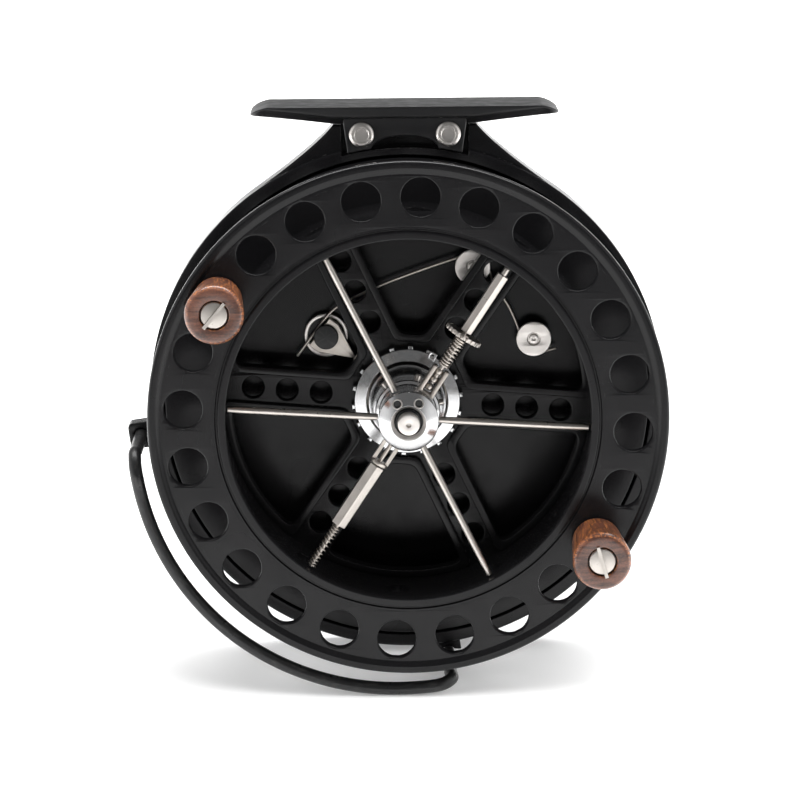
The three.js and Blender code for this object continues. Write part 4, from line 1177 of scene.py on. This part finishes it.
# %% Make the handles
def handle(name, slot_angle):
    x, z = middle(f"handle_post_{name}")[[0, 2]]
    low, high = span(f"handle_grip_{name}")
    front, base, r = low[1], high[1], high[0] - x
    grip = turned(
        [(2.6, base), (r - 1.35, base), (r - 0.95, base - 0.5), (r, front + 1), (r - 0.7, front),
         (3.2, front), (3.2, front + 2), (2.6, front + 2)],
        [0.1, 0.35, 0.35, 0.5, 0.45, 0.3, 0.1, 0.1], True, 128)
    node = f"handle_grip_{name}"
    make(node + "_skin", grip.at(x, 0, z), f"handle_{name}", "rosewood", ROSEWOOD, node)
    low, high = span(f"handle_bush_{name}")
    bush = tube(2, 2.3, low[1], high[1], 0.08).at(x, 0, z)
    make(f"handle_bush_{name}_skin", bush, f"handle_{name}", "brass", BRASS, f"handle_bush_{name}")
    low, high = span(f"handle_post_{name}")
    top = low[1]
    head = turned([(0, top), (2.9, top + 0.08), (2.9, top + 1.4), (1.7, top + 1.4), (1.7, high[1]),
                   (0, high[1])], [0, 0.35, 0.1, 0.1, 0.2, 0], steps=72)
    flange = tube(1.5, 3.6, -0.9, -0.3, 0.15, 72)
    cut = slot_cutter(0.75, 7, top, 1.0).placed(turned_to(slot_angle)).at(x, 0, z)
    node = f"handle_post_{name}"
    make(node + "_skin", (head + flange).at(x, 0, z), "drum", "nickel", NICKEL, node, cuts=[cut])


handle("upper", 50)
handle("lower", 106)

# %% [markdown]
# ## Camera, floor and light
# The reel is looked at from a little above its own axis. It stands leaning back slightly, on its guard and
# the rim of its backplate, so the floor is tipped up behind it by the angle of that lean. A long lens keeps
# the round flanges round.

# %% Camera
DISTANCE, ELEVATION, AZIMUTH, ROLL = 730, 11.28, -0.51, -0.5
e, a, roll = (math.radians(v) for v in (ELEVATION, AZIMUTH, ROLL))
back = np.array([math.sin(a) * math.cos(e), -math.cos(a) * math.cos(e), math.sin(e)])
side = np.array([math.cos(a), math.sin(a), 0])
up = np.cross(back, side)
right = math.cos(roll) * side + math.sin(roll) * up
top = -math.sin(roll) * side + math.cos(roll) * up
SHIFT = (-1.857, 4.609)  # how far the aim is from the spindle, along the picture's right and up
place = DISTANCE * back + SHIFT[0] * right + SHIFT[1] * top
camera = bpy.data.objects.new("camera", bpy.data.cameras.new("camera"))
camera.data.lens, camera.data.sensor_width = 150.4, 36
camera.data.clip_start, camera.data.clip_end = 0.01, 20
turn = Matrix(np.stack([right, top, back], -1)).to_4x4()
camera.matrix_world = Matrix.Translation(Vector(ORIGIN + place * MM)) @ turn
bpy.context.scene.collection.objects.link(camera)
bpy.context.scene.camera = camera
print("camera at (m):", np.round(ORIGIN + place * MM, 3))

# %% Floor
guard_foot = np.array([0.0, GUARD_Y, span("line_guard")[0][2]])
rim_foot = np.array([0.0, PLATE_Y, plate_low[2]])
slope = math.atan2(rim_foot[2] - guard_foot[2], rim_foot[1] - guard_foot[1])
t = np.linspace(-1, 1, 41)
gx, gy = np.meshgrid(t * 3000, t * 3000)
flat = np.stack([gx, gy, 0 * gx], -1)
ground = grid_shell(flat, wrap_columns=False).placed(Matrix.Rotation(slope, 4, "X"))
ground = ground.at(*(guard_foot - (0, 0, 0.15)))
floor = object_of("floor", mesh_of("floor", ground))
paper = Finish("white_paper_painted_glow", Roughness=0.75, Specular_IOR_Level=0.1)
UNDER_REEL = (0, 45, -62)  # the paper's painted glow is weakest near here, which paints shade round the reel and deepens its shadow
near = paper.add("VectorMath", {0: paper.place, 1: UNDER_REEL}, out="Value", operation="DISTANCE")
# painted glow and painted shade: the paper emits light, 0.24 near the reel's foot rising to 0.95 far off,
# so the floor darkens round the reel
paper.drive(Emission_Color=(1, 1, 1, 1), Emission_Strength=paper.between(near, 0.24, 0.95, 50.0, 600.0))
paper.drive(Base_Color=paper.mixed(paper.noise(0.004), (0.8, 0.8, 0.8, 1), (0.84, 0.84, 0.84, 1)))
floor.data.materials.append(paper.material)
print("floor tipped by (degrees):", round(math.degrees(slope), 2))

# %% Lights
def softbox(name, place, size, power, glossy=True):
    """A soft light at a place in millimetres from the spindle, facing the reel. A light that isn't
    glossy lights the reel without showing in its polished parts."""
    data = bpy.data.lights.new(name, "AREA")
    data.shape, data.size, data.size_y, data.energy = "RECTANGLE", size[0] * MM, size[1] * MM, power
    lamp = bpy.data.objects.new(name, data)
    position = Vector(ORIGIN + np.array(place) * MM)
    facing = (position - Vector(ORIGIN)).to_track_quat("Z", "Y").to_matrix().to_4x4()
    lamp.matrix_world = Matrix.Translation(position) @ facing
    lamp.visible_glossy = glossy
    bpy.context.scene.collection.objects.link(lamp)


softbox("overhead", (150, -120, 750), (900, 500), 9, glossy=False)
softbox("strip", (0, 300, 700), (900, 160), 5)
softbox("left", (-750, -250, 200), (300, 700), 5, glossy=False)
softbox("right", (750, -250, 150), (300, 700), 4, glossy=False)

# %% [markdown]
# ### The room
# Polished metal is only as good as what it mirrors, so the room isn't one even white. It is dim in front,
# where the maker's hands and camera would be, a little lighter behind, and pale at both sides. A ray
# straight from the camera sees plain white instead, so that the background stays clean.

# %% The room around the reel
world = bpy.data.worlds.new("studio")
world.use_nodes = True
nodes, links = world.node_tree.nodes, world.node_tree.links


def ramp(value, start, stop, low, high):
    """Carries start..stop of a value to low..high, and holds it there."""
    node = nodes.new("ShaderNodeMapRange")
    for name, number in (("From Min", start), ("From Max", stop), ("To Min", low), ("To Max", high)):
        node.inputs[name].default_value = number
    links.new(value, node.inputs["Value"])
    return node.outputs[0]


def maths(operation, *values):
    node = nodes.new("ShaderNodeMath")
    node.operation = operation
    for socket, value in zip(node.inputs, values):
        links.new(value, socket)
    return node.outputs[0]


direction = nodes.new("ShaderNodeSeparateXYZ")
links.new(nodes.new("ShaderNodeTexCoord").outputs["Generated"], direction.inputs[0])
depth = ramp(direction.outputs["Y"], -0.1, 0.5, 0.14, 0.2)
walls = ramp(maths("ABSOLUTE", direction.outputs["X"]), 0.45, 0.9, 0.1, 0.95)
room, backdrop = nodes["Background"], nodes.new("ShaderNodeBackground")
for shader in (room, backdrop):
    shader.inputs["Color"].default_value = (1, 1, 1, 1)
links.new(maths("MAXIMUM", depth, walls), room.inputs["Strength"])
pick = nodes.new("ShaderNodeMixShader")
links.new(nodes.new("ShaderNodeLightPath").outputs["Is Camera Ray"], pick.inputs[0])
links.new(room.outputs[0], pick.inputs[1])
links.new(backdrop.outputs[0], pick.inputs[2])
links.new(pick.outputs[0], nodes["World Output"].inputs[0])
print("room made: strength 0.14 to 0.2 front to back, up to 0.95 at the sides")
bpy.context.scene.view_settings.view_transform = "Standard"
bpy.context.scene.world = world
